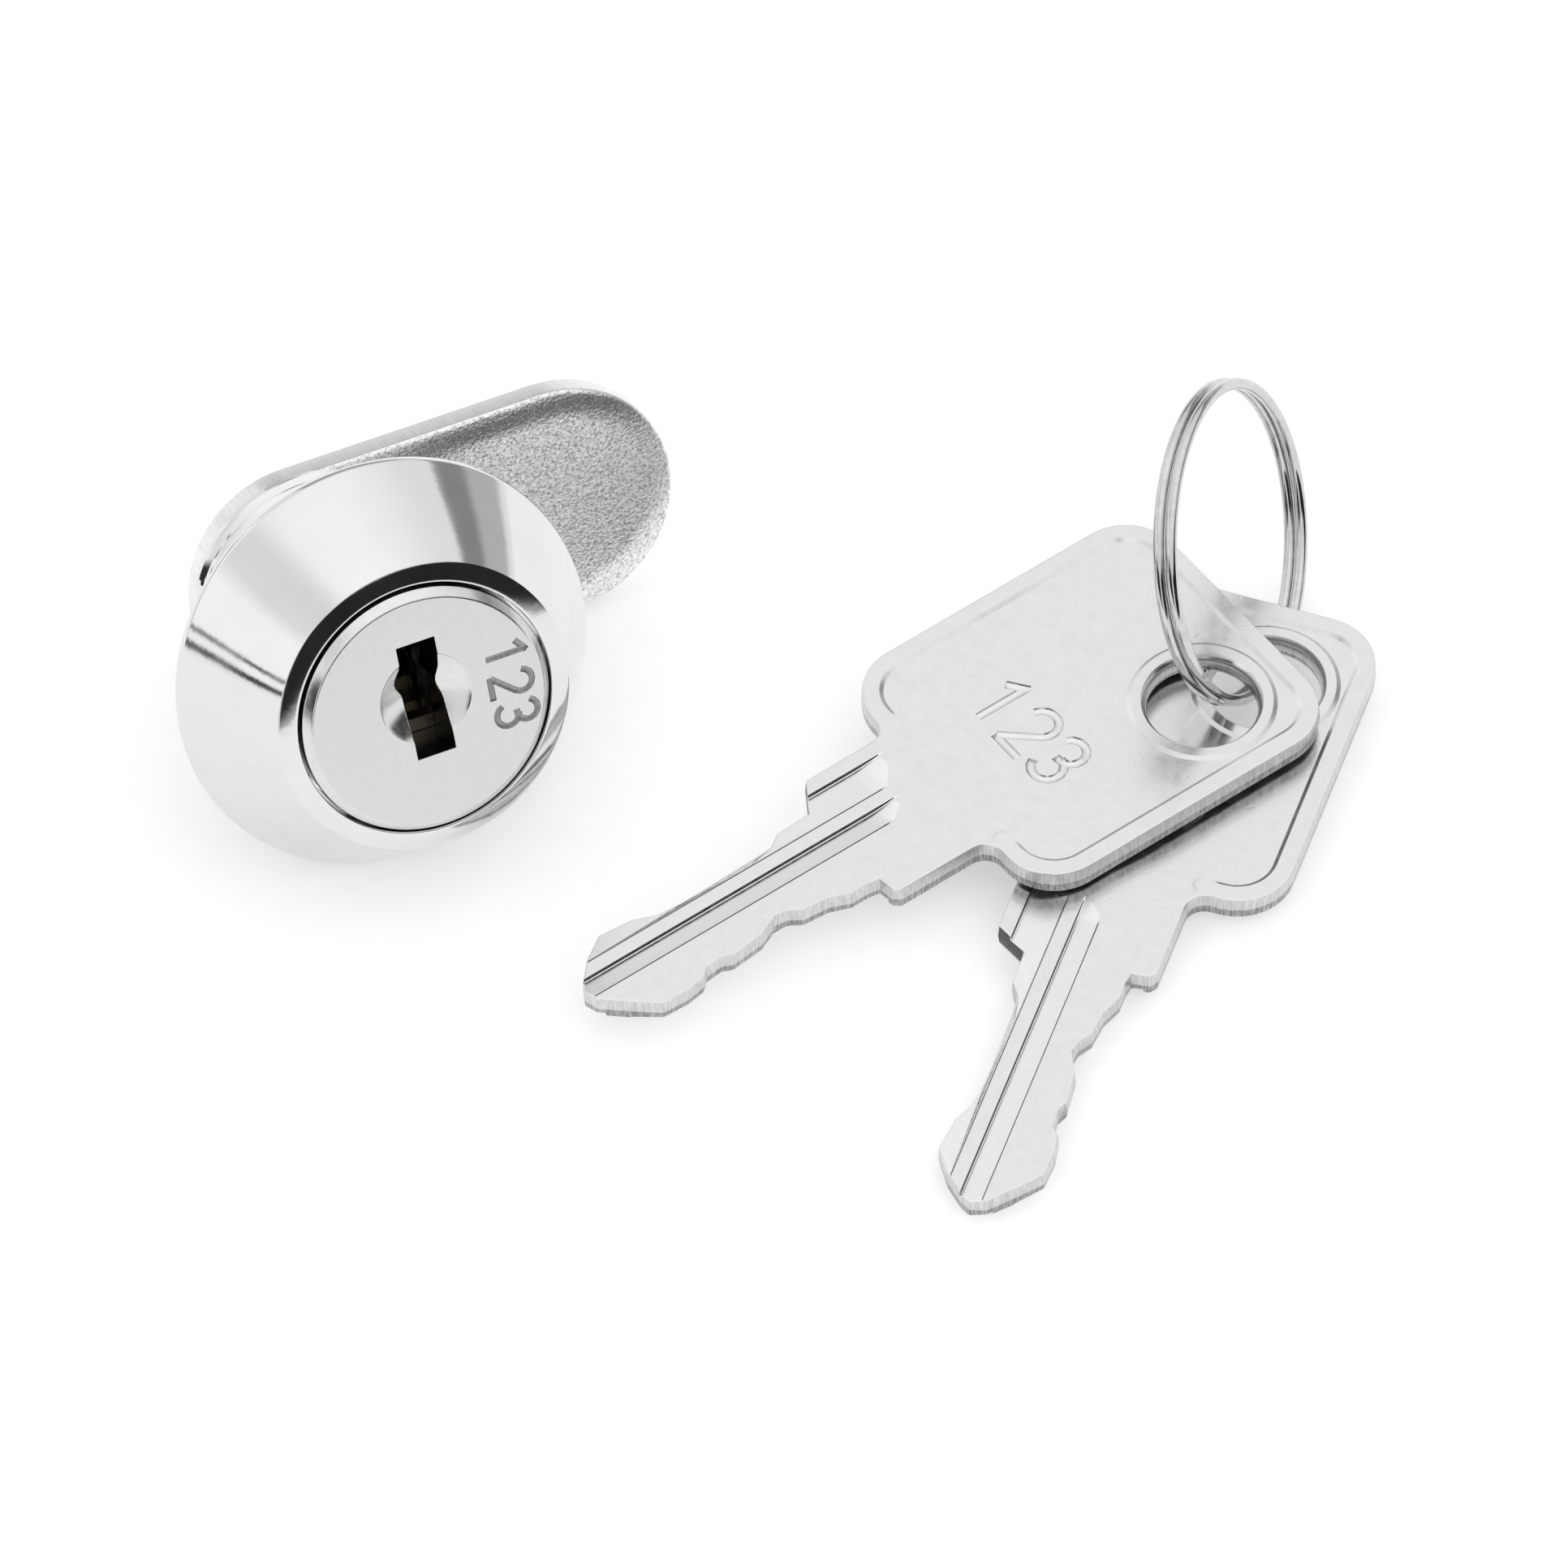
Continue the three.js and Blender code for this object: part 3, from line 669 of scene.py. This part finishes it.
def build_nut(name, flats, turn, hole, front, thickness):
    """A hexagon nut with its corners turned off at both faces, and its bore's edges broken."""
    back = front - thickness
    corner = flats / math.sqrt(3) + 0.1
    crown = flats / 2 - 0.1
    drop = min((corner - crown) * 0.55, thickness * 0.3)
    past = NUT_CUT_PAST
    tip = crown - (corner - crown) * past / drop
    crown_rows = [
        (0, back - past), (tip, back - past), (corner, back + drop),
        (corner, front - drop), (tip, front + past), (0, front + past),
    ]
    wide = hole + 1 + NUT_BORE_BREAK
    bore_rows = [
        (0, back - 1), (wide, back - 1), (hole, back + NUT_BORE_BREAK),
        (hole, front - NUT_BORE_BREAK), (wide, front + 1), (0, front + 1),
    ]
    nut = prism(name, hexagon(flats, turn), back, front)
    boolean(nut, [turned(name + "_crown", crown_rows, even_columns(CUT_COLUMNS))], "INTERSECT")
    boolean(nut, [turned(name + "_bore", bore_rows, even_columns(CUT_COLUMNS))])
    return smooth(soften(nut, 0.05), 30)


# ---- Keys ----
def key_outline():
    r = BOW_CORNER_R
    n = NECK_R
    x0 = BOW_START
    points = BOTTOM_CUTS + LOWER_SHOULDER
    points += arc(x0 - n, SHANK_BOTTOM - n, n, 90, 0, 6)
    points += arc(x0 + r, -BOW_HALF_WIDTH + r, r, 180, 270, 12)
    points += arc(KEY_LENGTH - r, -BOW_HALF_WIDTH + r, r, 270, 360, 12)
    points += arc(KEY_LENGTH - r, BOW_HALF_WIDTH - r, r, 0, 90, 12)
    points += arc(x0 + r, BOW_HALF_WIDTH - r, r, 90, 180, 12)
    points += arc(x0 - n, SHANK_TOP + n, n, 0, -90, 6)
    return points + [(SHOULDER, SHANK_TOP)] + TOP_CUTS[::-1]


def field_outline(grow, fade):
    """The sunk field's outline, grown outwards by a little, and faded out towards the blade by more."""
    r = BOW_CORNER_R - RIM_WIDTH
    x0 = BOW_START + RIM_WIDTH
    x1 = KEY_LENGTH - RIM_WIDTH
    y = BOW_HALF_WIDTH - RIM_WIDTH
    corners = [(x0 + r, -y + r, 180), (x1 - r, -y + r, 270), (x1 - r, y - r, 0), (x0 + r, y - r, 90)]
    points = []
    for cx, cy, start in corners:
        points += arc(cx, cy, r + grow, start, start + 90, 10)
    for i in range(FADE_STEPS + 1):
        along = FADE_HALF_LENGTH - 2 * FADE_HALF_LENGTH * i / FADE_STEPS
        window = min(max((FADE_EDGE - abs(along)) / FADE_EDGE_WIDTH, 0), 1)
        points.append((x0 - grow - fade * eased(window), along))
    return points


def field_cutter(name, floor, direction):
    """The sunk field less the boss round the hole, with sloped walls.

    Direction 1 opens upwards, -1 downwards.
    """
    slope = FIELD_SLOPE
    low_fade, high_fade = FIELD_FADE
    levels = [(-slope, low_fade, 0), (slope, high_fade, FIELD_DEPTH), (slope, high_fade, 1)]
    field = loops_solid(name, [[(x, y, floor + direction * depth) for x, y in field_outline(grow, fade)]
                               for grow, fade, depth in levels])
    foot = BOSS_R + slope
    top = BOSS_R - slope
    rows = [(0, -0.5), (foot, -0.5), (foot, 0), (top, FIELD_DEPTH), (top, 1.5), (0, 1.5)]
    boss = turned(name + "_boss", [(r, floor + direction * z) for r, z in rows], even_columns(CUT_COLUMNS))
    return boolean(field, [moved(boss, HOLE_X, HOLE_Y)])


def hole_cutter(name):
    """The ring hole, its edges well rounded."""
    wide = HOLE_R + HOLE_ROUNDING
    rows = [(0, -0.5), (wide, -0.5)]
    for i in range(HOLE_STEPS + 1):
        share = i / HOLE_STEPS
        radius = HOLE_R + HOLE_ROUNDING * (1 - math.sin(math.pi * share)) ** 2
        rows.append((radius, KEY_THICKNESS * share))
    rows += [(wide, KEY_THICKNESS + 0.5), (0, KEY_THICKNESS + 0.5)]
    return moved(turned(name, rows, even_columns(CUT_COLUMNS)), HOLE_X, HOLE_Y)


def run_out(end, depth, direction):
    """Stations of a milled cut: level along the blade, then rising on the cutter's curve to the surface."""
    stations = [(-2, 0)]
    for i in range(RUN_OUT_STEPS + 1):
        share = i / RUN_OUT_STEPS
        stations.append((end - RUN_OUT * (1 - share), direction * depth * share ** 2))
    return stations + [(end + 0.4, direction * depth * 1.4)]


def groove_section(wall, foot):
    """A groove with an upright wall on one side, its floor rising to a low step on the other."""
    top = KEY_THICKNESS
    return [(wall, top + 1), (foot, top + 1), (foot, top - GROOVE_FOOT), (wall - 0.05, top - GROOVE_DEPTH),
            (wall, top - GROOVE_DEPTH)]


def blade_cutters(name):
    """The milled grooves, down the middle and along the edge, and the same turned over on the back."""
    grooves = (("main", MAIN_GROOVE, MAIN_GROOVE_END), ("edge", EDGE_GROOVE, EDGE_GROOVE_END))
    made = []
    for kind, groove, end in grooves:
        section = groove_section(*groove)
        made.append(bar_along_x(f"{name}_{kind}", section, run_out(end, GROOVE_DEPTH, 1)))
        turned_over = [(-y, KEY_THICKNESS - z) for y, z in section]
        made.append(bar_along_x(f"{name}_{kind}_back", turned_over, run_out(end, GROOVE_DEPTH, -1)))
    return made


def grown(outline, out):
    """A closed outline moved outwards by a little."""
    points = [Vector(point) for point in outline]
    moved_points = []
    for i, point in enumerate(points):
        before = (point - points[i - 1]).normalized()
        after = (points[(i + 1) % len(points)] - point).normalized()
        along = (before + after).normalized()
        moved_points.append(point + Vector((along.y, -along.x)) * out / max(along.dot(before), 0.6))
    return moved_points


# The keys' edges are painted darker than their flats: painted shade, over real sheared marks.
def on_edge(centre, normal):
    return abs(normal.z) < UPRIGHT


# The lower band of each key's edge is painted darker than the upper band: painted shade.
def on_lower_edge(centre, normal):
    return on_edge(centre, normal) and centre.z < KEY_THICKNESS * SHEAR_LINE


# Groove walls get a near black metal: painted shade along the milled grooves.
def on_groove_wall(centre, normal):
    walls = (MAIN_GROOVE[0], EDGE_GROOVE[0])
    at_wall = any(abs(abs(centre.y) - wall) < GROOVE_WALL_REACH for wall in walls)
    return centre.x < EDGE_GROOVE_END and at_wall and abs(normal.y) > FACING


# Groove floors are painted brighter than the flats: milled metal, with painted light.
def on_groove_floor(centre, normal):
    """A groove's floor slopes, so its faces are nearly level but not quite."""
    low, high = NEARLY_LEVEL
    below = abs(centre.z - KEY_THICKNESS / 2) < KEY_THICKNESS / 2 - SURFACE_SKIN
    return centre.x < EDGE_GROOVE_END and below and low < abs(normal.z) < high


def build_key(name):
    levels = [(0, 0), (SHEAR_BULGE, KEY_THICKNESS * SHEAR_LINE), (0, KEY_THICKNESS)]
    key = loops_solid(name, [[(x, y, z) for x, y in grown(key_outline(), out)] for out, z in levels])
    boolean(key, blade_cutters(name))
    soften(key, 0.08)
    field = field_cutter(name + "_field", KEY_THICKNESS - FIELD_DEPTH, 1)
    field_back = field_cutter(name + "_field_back", FIELD_DEPTH, -1)
    boolean(key, [field, field_back, hole_cutter(name + "_hole")])
    boolean(key, number_cutters(name + "_number", **KEY_NUMBER))
    smooth(key, 30)
    key.data.materials.append(finishes["key_nickel"])
    finish_faces(key, finishes["key_edge_painted_shade"], on_edge)
    finish_faces(key, finishes["key_lower_edge_painted_shade"], on_lower_edge)
    finish_faces(key, finishes["key_groove_painted_shade"], on_groove_wall)
    finish_faces(key, finishes["key_milled_and_lit"], on_groove_floor)
    return key


# ---- Ring ----
def build_ring():
    """One wire of nearly two coils side by side, crossing over at the bottom, with blunt ends."""
    start = -90 + RING_CROSSING + RING_END_GAP
    loops = []
    for i in range(RING_STEPS + 1):
        degrees = start + 2 * (360 - RING_CROSSING - RING_END_GAP) * i / RING_STEPS
        share = min(max((degrees - 270 + RING_CROSSING) / (2 * RING_CROSSING), 0), 1)
        offset = COIL_OFFSET * (2 * eased(share) - 1)
        loop = []
        for j in range(WIRE_SIDES):
            out, side = polar(WIRE_R, 360 * j / WIRE_SIDES)
            loop.append((*polar(RING_R + out, degrees), offset + side))
        loops.append(loop)
    return smooth(loops_solid("split_ring_fine", loops), 50)


# ---- Materials ----
def node_material(name):
    material = bpy.data.materials.new(name)
    material.use_nodes = True
    tree = material.node_tree
    return material, tree, tree.nodes["Principled BSDF"]


def object_position(tree):
    return tree.nodes.new("ShaderNodeTexCoord").outputs["Object"]


def noise(tree, scale, detail=3.0, roughness=0.55):
    texture = tree.nodes.new("ShaderNodeTexNoise")
    texture.inputs["Scale"].default_value = scale
    texture.inputs["Detail"].default_value = detail
    texture.inputs["Roughness"].default_value = roughness
    tree.links.new(object_position(tree), texture.inputs["Vector"])
    return texture.outputs["Fac"]


def turning_marks(tree, axis, scale):
    """Fine rings left by turning: a noise that changes only along an axis."""
    along = tree.nodes.new("ShaderNodeVectorMath")
    along.operation = "DOT_PRODUCT"
    along.inputs[1].default_value = axis
    tree.links.new(object_position(tree), along.inputs[0])
    texture = tree.nodes.new("ShaderNodeTexNoise")
    texture.noise_dimensions = "1D"
    texture.inputs["Scale"].default_value = scale
    texture.inputs["Detail"].default_value = 4.0
    tree.links.new(along.outputs["Value"], texture.inputs["W"])
    return texture.outputs["Fac"]


def ramp(tree, value, stops):
    node = tree.nodes.new("ShaderNodeValToRGB")
    elements = node.color_ramp.elements
    for i, (position, shade) in enumerate(stops):
        element = elements[i] if i < 2 else elements.new(position)
        element.position = position
        element.color = (*(shade if isinstance(shade, tuple) else (shade,) * 3), 1)
    tree.links.new(value, node.inputs["Fac"])
    return node.outputs["Color"]


def bump(tree, height, distance, under=None):
    node = tree.nodes.new("ShaderNodeBump")
    node.inputs["Distance"].default_value = distance
    tree.links.new(height, node.inputs["Height"])
    if under:
        tree.links.new(under, node.inputs["Normal"])
    return node.outputs["Normal"]


def metal(name, shades, gloss, grain, grain_height, pits=None):
    """A plated metal. Its colour and gloss vary with a grain, and shallow pits may break its surface."""
    material, tree, shader = node_material(name)
    shader.inputs["Metallic"].default_value = 1.0
    pattern = noise(tree, grain)
    tree.links.new(ramp(tree, pattern, [(0.3, shades[0]), (0.7, shades[1])]), shader.inputs["Base Color"])
    tree.links.new(ramp(tree, pattern, [(0.3, gloss[0]), (0.7, gloss[1])]), shader.inputs["Roughness"])
    normal = bump(tree, pattern, grain_height)
    if pits:
        scale, depth = pits
        spots = ramp(tree, noise(tree, scale, 1.0, 0.4), [(0.28, 0.0), (0.36, 1.0)])
        normal = bump(tree, spots, depth, normal)
    tree.links.new(normal, shader.inputs["Normal"])
    return material


def chrome(name):
    """Bright chrome over a turned cone: mirror gloss, with faint turning marks round the axis."""
    material, tree, shader = node_material(name)
    shader.inputs["Metallic"].default_value = 1.0
    haze = noise(tree, 350)
    tree.links.new(ramp(tree, haze, [(0.3, 0.71), (0.7, 0.74)]), shader.inputs["Base Color"])
    tree.links.new(ramp(tree, haze, [(0.3, 0.05), (0.7, 0.1)]), shader.inputs["Roughness"])
    marks = turning_marks(tree, JOINTS["plug_turn"]["axis"], 4000)
    normal = bump(tree, marks, 0.0000012)
    normal = bump(tree, noise(tree, 1500, 3.0), 0.0000025, normal)
    tree.links.new(normal, shader.inputs["Normal"])
    return material


def blasted(name):
    """Bead-blasted zinc plate: dark and bright grains about a tenth of a millimetre across."""
    material, tree, shader = node_material(name)
    shader.inputs["Metallic"].default_value = 1.0
    grains = noise(tree, 5200, 2.0, 0.7)
    tree.links.new(ramp(tree, grains, [(0.3, 0.4), (0.5, 0.82), (0.7, 1.0)]), shader.inputs["Base Color"])
    tree.links.new(ramp(tree, grains, [(0.3, 0.3), (0.7, 0.2)]), shader.inputs["Roughness"])
    tree.links.new(bump(tree, grains, 0.000025), shader.inputs["Normal"])
    return material


def gloss_materials():
    """Each metal's shades, roughness, grains per metre and grain height in metres."""
    nickel = ((0.685, 0.685, 0.68), (0.73, 0.73, 0.725))
    brass = ((0.36, 0.32, 0.24), (0.48, 0.43, 0.33))
    key_axis = JOINTS["key_2_swivel"]["axis"]
    lock_axis = JOINTS["plug_turn"]["axis"]
    return {
        "bezel_chrome": chrome("bezel_chrome"),
        "plug_metal": metal("plug_metal", (0.65, 0.71), (0.16, 0.24), 2200, 0.0000008),
        # Near black metal for the keyway: painted shade.
        "keyway_painted_shade": metal("keyway_painted_shade", (0.04, 0.1), (0.25, 0.4), 1500, 0.000004),
        "engraving": metal("engraving", (0.28, 0.46), (0.35, 0.5), 5000, 0.00001),
        "blasted_steel": blasted("blasted_steel"),
        "key_nickel": metal("key_nickel", nickel, (0.18, 0.26), 1300, 0.0000015, (2200, 0.000003)),
        # Darker than the flats: painted shade on the key edges.
        "key_edge_painted_shade": sheared_edge("key_edge_painted_shade", key_axis, (0.54, 0.7), 0.000002),
        # Brighter than the flats: milled metal, and painted light on the groove floors.
        "key_milled_and_lit": metal("key_milled_and_lit", (0.78, 0.84), (0.2, 0.3), 2500, 0.000002),
        # Darker than the upper edge: painted shade on the lower band of the key edges, over sheared marks.
        "key_lower_edge_painted_shade": sheared_edge("key_lower_edge_painted_shade", key_axis, (0.22, 0.48), 0.000006),
        # Near black: painted shade on the groove walls.
        "key_groove_painted_shade": metal("key_groove_painted_shade", (0.03, 0.12), (0.3, 0.4), 2500, 0.000002),
        # Brighter than the cam's face: painted light on the cam edge.
        "cam_edge_painted_light": sheared_edge("cam_edge_painted_light", lock_axis, (0.74, 0.84), 0.000002),
        "wafer_brass": metal("wafer_brass", brass, (0.25, 0.4), 1200, 0.000002),
        "zinc_plate": metal("zinc_plate", (0.55, 0.68), (0.22, 0.36), 800, 0.000002),
        "spring_steel": metal("spring_steel", (0.54, 0.64), (0.06, 0.12), 1800, 0.000001),
    }


MARK_STRETCH = 0.93


def sheared_edge(name, axis, shades, height):
    """A sheared edge, with fine marks that run through the plate's thickness."""
    material, tree, shader = node_material(name)
    shader.inputs["Metallic"].default_value = 1.0
    position = object_position(tree)
    along = tree.nodes.new("ShaderNodeVectorMath")
    along.operation = "PROJECT"
    along.inputs[1].default_value = axis
    tree.links.new(position, along.inputs[0])
    shrunk = tree.nodes.new("ShaderNodeVectorMath")
    shrunk.operation = "MULTIPLY_ADD"
    shrunk.inputs[1].default_value = (-MARK_STRETCH,) * 3
    tree.links.new(along.outputs["Vector"], shrunk.inputs[0])
    tree.links.new(position, shrunk.inputs[2])
    marks = tree.nodes.new("ShaderNodeTexNoise")
    marks.inputs["Scale"].default_value = 9000
    tree.links.new(shrunk.outputs["Vector"], marks.inputs["Vector"])
    pattern = marks.outputs["Fac"]
    tree.links.new(ramp(tree, pattern, [(0.35, shades[0]), (0.65, shades[1])]), shader.inputs["Base Color"])
    shader.inputs["Roughness"].default_value = 0.28
    tree.links.new(bump(tree, pattern, height), shader.inputs["Normal"])
    return material


# ---- Stage, in degrees and metres, but the sensor in millimetres ----
VIEW_AZIMUTH = -24.37
VIEW_ELEVATION = 50.09
CAMERA_DISTANCE = 0.8333
FIELD_WIDTH = 0.09059
SENSOR = 36.0
AIM_RIGHT = 0.0231
AIM_UP = 0.00022
FLOOR_HALF = 3.0
FLOOR_GLOW = 0.3


def camera():
    azimuth = math.radians(VIEW_AZIMUTH)
    elevation = math.radians(VIEW_ELEVATION)
    level = math.cos(elevation)
    back = Vector((math.sin(azimuth) * level, -math.cos(azimuth) * level, math.sin(elevation)))
    right = Vector((math.cos(azimuth), math.sin(azimuth), 0))
    up = back.cross(right)
    foot = Vector(JOINTS["plug_turn"]["pos_m"])
    foot.z = 0
    data = bpy.data.cameras.new("camera")
    data.sensor_width = SENSOR
    data.lens = SENSOR * CAMERA_DISTANCE / FIELD_WIDTH
    data.clip_start = 0.01
    data.clip_end = 20
    obj = bpy.data.objects.new("camera", data)
    bpy.context.scene.collection.objects.link(obj)
    obj.rotation_mode = "QUATERNION"
    obj.rotation_quaternion = (-back).to_track_quat("-Z", "Y")
    obj.location = foot + right * AIM_RIGHT + up * AIM_UP + back * CAMERA_DISTANCE
    bpy.context.scene.camera = obj


def floor():
    half = FLOOR_HALF
    obj = new_object("floor", [(-half, -half, 0), (half, -half, 0), (half, half, 0), (-half, half, 0)],
                     [(0, 1, 2, 3)])
    material, tree, shader = node_material("pale_floor")
    shader.inputs["Roughness"].default_value = 0.9
    shader.inputs["Specular IOR Level"].default_value = 0.0
    shader.inputs["Emission Color"].default_value = (1, 1, 1, 1)
    shader.inputs["Emission Strength"].default_value = FLOOR_GLOW
    tree.links.new(ramp(tree, noise(tree, 700, 2.0), [(0.2, 0.86), (0.8, 0.9)]), shader.inputs["Base Color"])
    obj.data.materials.append(material)


class Studio:
    """The room's light by direction: azimuth 0 is the front, 90 the side that the cam points to."""

    def __init__(self):
        world = bpy.data.worlds.new("studio")
        bpy.context.scene.world = world
        world.use_nodes = True
        self.tree = world.node_tree
        direction = self.tree.nodes.new("ShaderNodeTexCoord").outputs["Generated"]
        parts = self.tree.nodes.new("ShaderNodeSeparateXYZ")
        self.tree.links.new(direction, parts.inputs["Vector"])
        x, y, z = parts.outputs
        degrees = 180 / math.pi
        front = self.math("MULTIPLY", y, -1.0)
        self.elevation = self.math("MULTIPLY", self.math("ARCSINE", z), degrees)
        self.azimuth = self.math("MULTIPLY", self.math("ARCTAN2", x, front), degrees)

    def math(self, operation, *values):
        node = self.tree.nodes.new("ShaderNodeMath")
        node.operation = operation
        for item, socket in zip(values, node.inputs):
            if isinstance(item, (int, float)):
                socket.default_value = item
            else:
                self.tree.links.new(item, socket)
        return node.outputs["Value"]

    def step(self, value, start, end):
        node = self.tree.nodes.new("ShaderNodeMapRange")
        node.interpolation_type = "SMOOTHSTEP"
        node.inputs["From Min"].default_value = start
        node.inputs["From Max"].default_value = end
        self.tree.links.new(value, node.inputs["Value"])
        return node.outputs["Result"]

    def window(self, value, start, end, soft):
        rise = self.step(value, start - soft, start + soft)
        fall = self.step(value, end + soft, end - soft)
        return self.math("MULTIPLY", rise, fall)

    def blend(self, light, patch, inside):
        """The light, moved towards a level inside a patch."""
        return self.math("ADD", light, self.math("MULTIPLY", self.math("SUBTRACT", inside, light), patch))

    def card(self, light, azimuths, elevations, inside, softness):
        """A card between two azimuths and two elevations, with soft edges across and upward."""
        across = self.window(self.azimuth, *azimuths, softness[0])
        upward = self.window(self.elevation, *elevations, softness[1])
        return self.blend(light, self.math("MULTIPLY", across, upward), inside)

    def finish(self, light, room):
        """Reflections see the cards; everything else sees an even room."""
        glossy = self.tree.nodes.new("ShaderNodeLightPath").outputs["Is Glossy Ray"]
        seen = self.blend(room, glossy, light)
        background = self.tree.nodes["Background"]
        self.tree.links.new(seen, background.inputs["Strength"])
        background.inputs["Color"].default_value = (1, 1, 1, 1)


ROOM_LIGHT = 0.95
WALL_LIGHT = 0.97
OVERHEAD_LIGHT = 0.26
OVERHEAD_ELEVATIONS = (36, 70)
# Azimuths, elevations, light, and softness at the sides and at the top and bottom, in degrees.
# Later cards cover earlier ones.
CARDS = [
    ((-132, -60), (38, 60), 0.9, (10, 10)),
    ((-160, -60), (0, 34), 1.2, (5, 5)),
    ((-14, 60), (0.5, 27), 0.02, (3, 3)),
    ((-78, -36), (0.5, 27), 0.03, (3, 3)),
    ((60, 135), (3, 30), 0.56, (3, 1.5)),
    ((60, 135), (17, 29), 0.3, (3, 2.5)),
    ((145, 190), (6, 30), 0.4, (8, 8)),
    ((-160, -70), (2, 5), 0.05, (0.8, 0.8)),
    ((-160, -70), (9, 11), 0.15, (0.8, 0.8)),
]


def studio_light():
    studio = Studio()
    overhead = studio.step(studio.elevation, *OVERHEAD_ELEVATIONS)
    light = studio.math("ADD", studio.math("MULTIPLY", overhead, OVERHEAD_LIGHT), WALL_LIGHT)
    for azimuths, elevations, inside, softness in CARDS:
        light = studio.card(light, azimuths, elevations, inside, softness)
    studio.finish(light, ROOM_LIGHT)


# ---- Scene ----
finishes = gloss_materials()


def place_piece(obj, place, body, slot, node):
    obj.data.transform(place)
    if not obj.data.materials:
        obj.data.materials.append(finishes[slot])
    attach(obj, body)
    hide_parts(node)


def finish_frame_nodes():
    for row in frame["record"]["subparts"]:
        materials = frame["nodes"][row["node"]].data.materials
        materials.clear()
        materials.append(finishes[row["material_slot"]])


camera()
floor()
studio_light()
bpy.context.scene.view_settings.view_transform = "Standard"
finish_frame_nodes()

lock = lock_place()
mounting_nut = build_nut("mounting_nut_fine", **MOUNTING_NUT)
cam_nut = build_nut("cam_nut_fine", **CAM_NUT)
cam = build_cam()
place_piece(build_housing(), lock, "housing", "bezel_chrome", "housing")
place_piece(mounting_nut, lock, "housing", "zinc_plate", "mounting_nut")
place_piece(build_plug(), lock, "plug", "plug_metal", "plug")
place_piece(cam, lock, "plug", "blasted_steel", "cam")
place_piece(cam_nut, lock, "plug", "zinc_plate", "cam_nut")
place_piece(build_key("key_1_fine"), key_place("key_1", KEY_1_TURN), "key_1", "key_nickel", "key_1")
place_piece(build_key("key_2_fine"), key_place("key_2", 0), "key_2", "key_nickel", "key_2")
place_piece(build_ring(), ring_place(), "split_ring", "spring_steel", "split_ring")
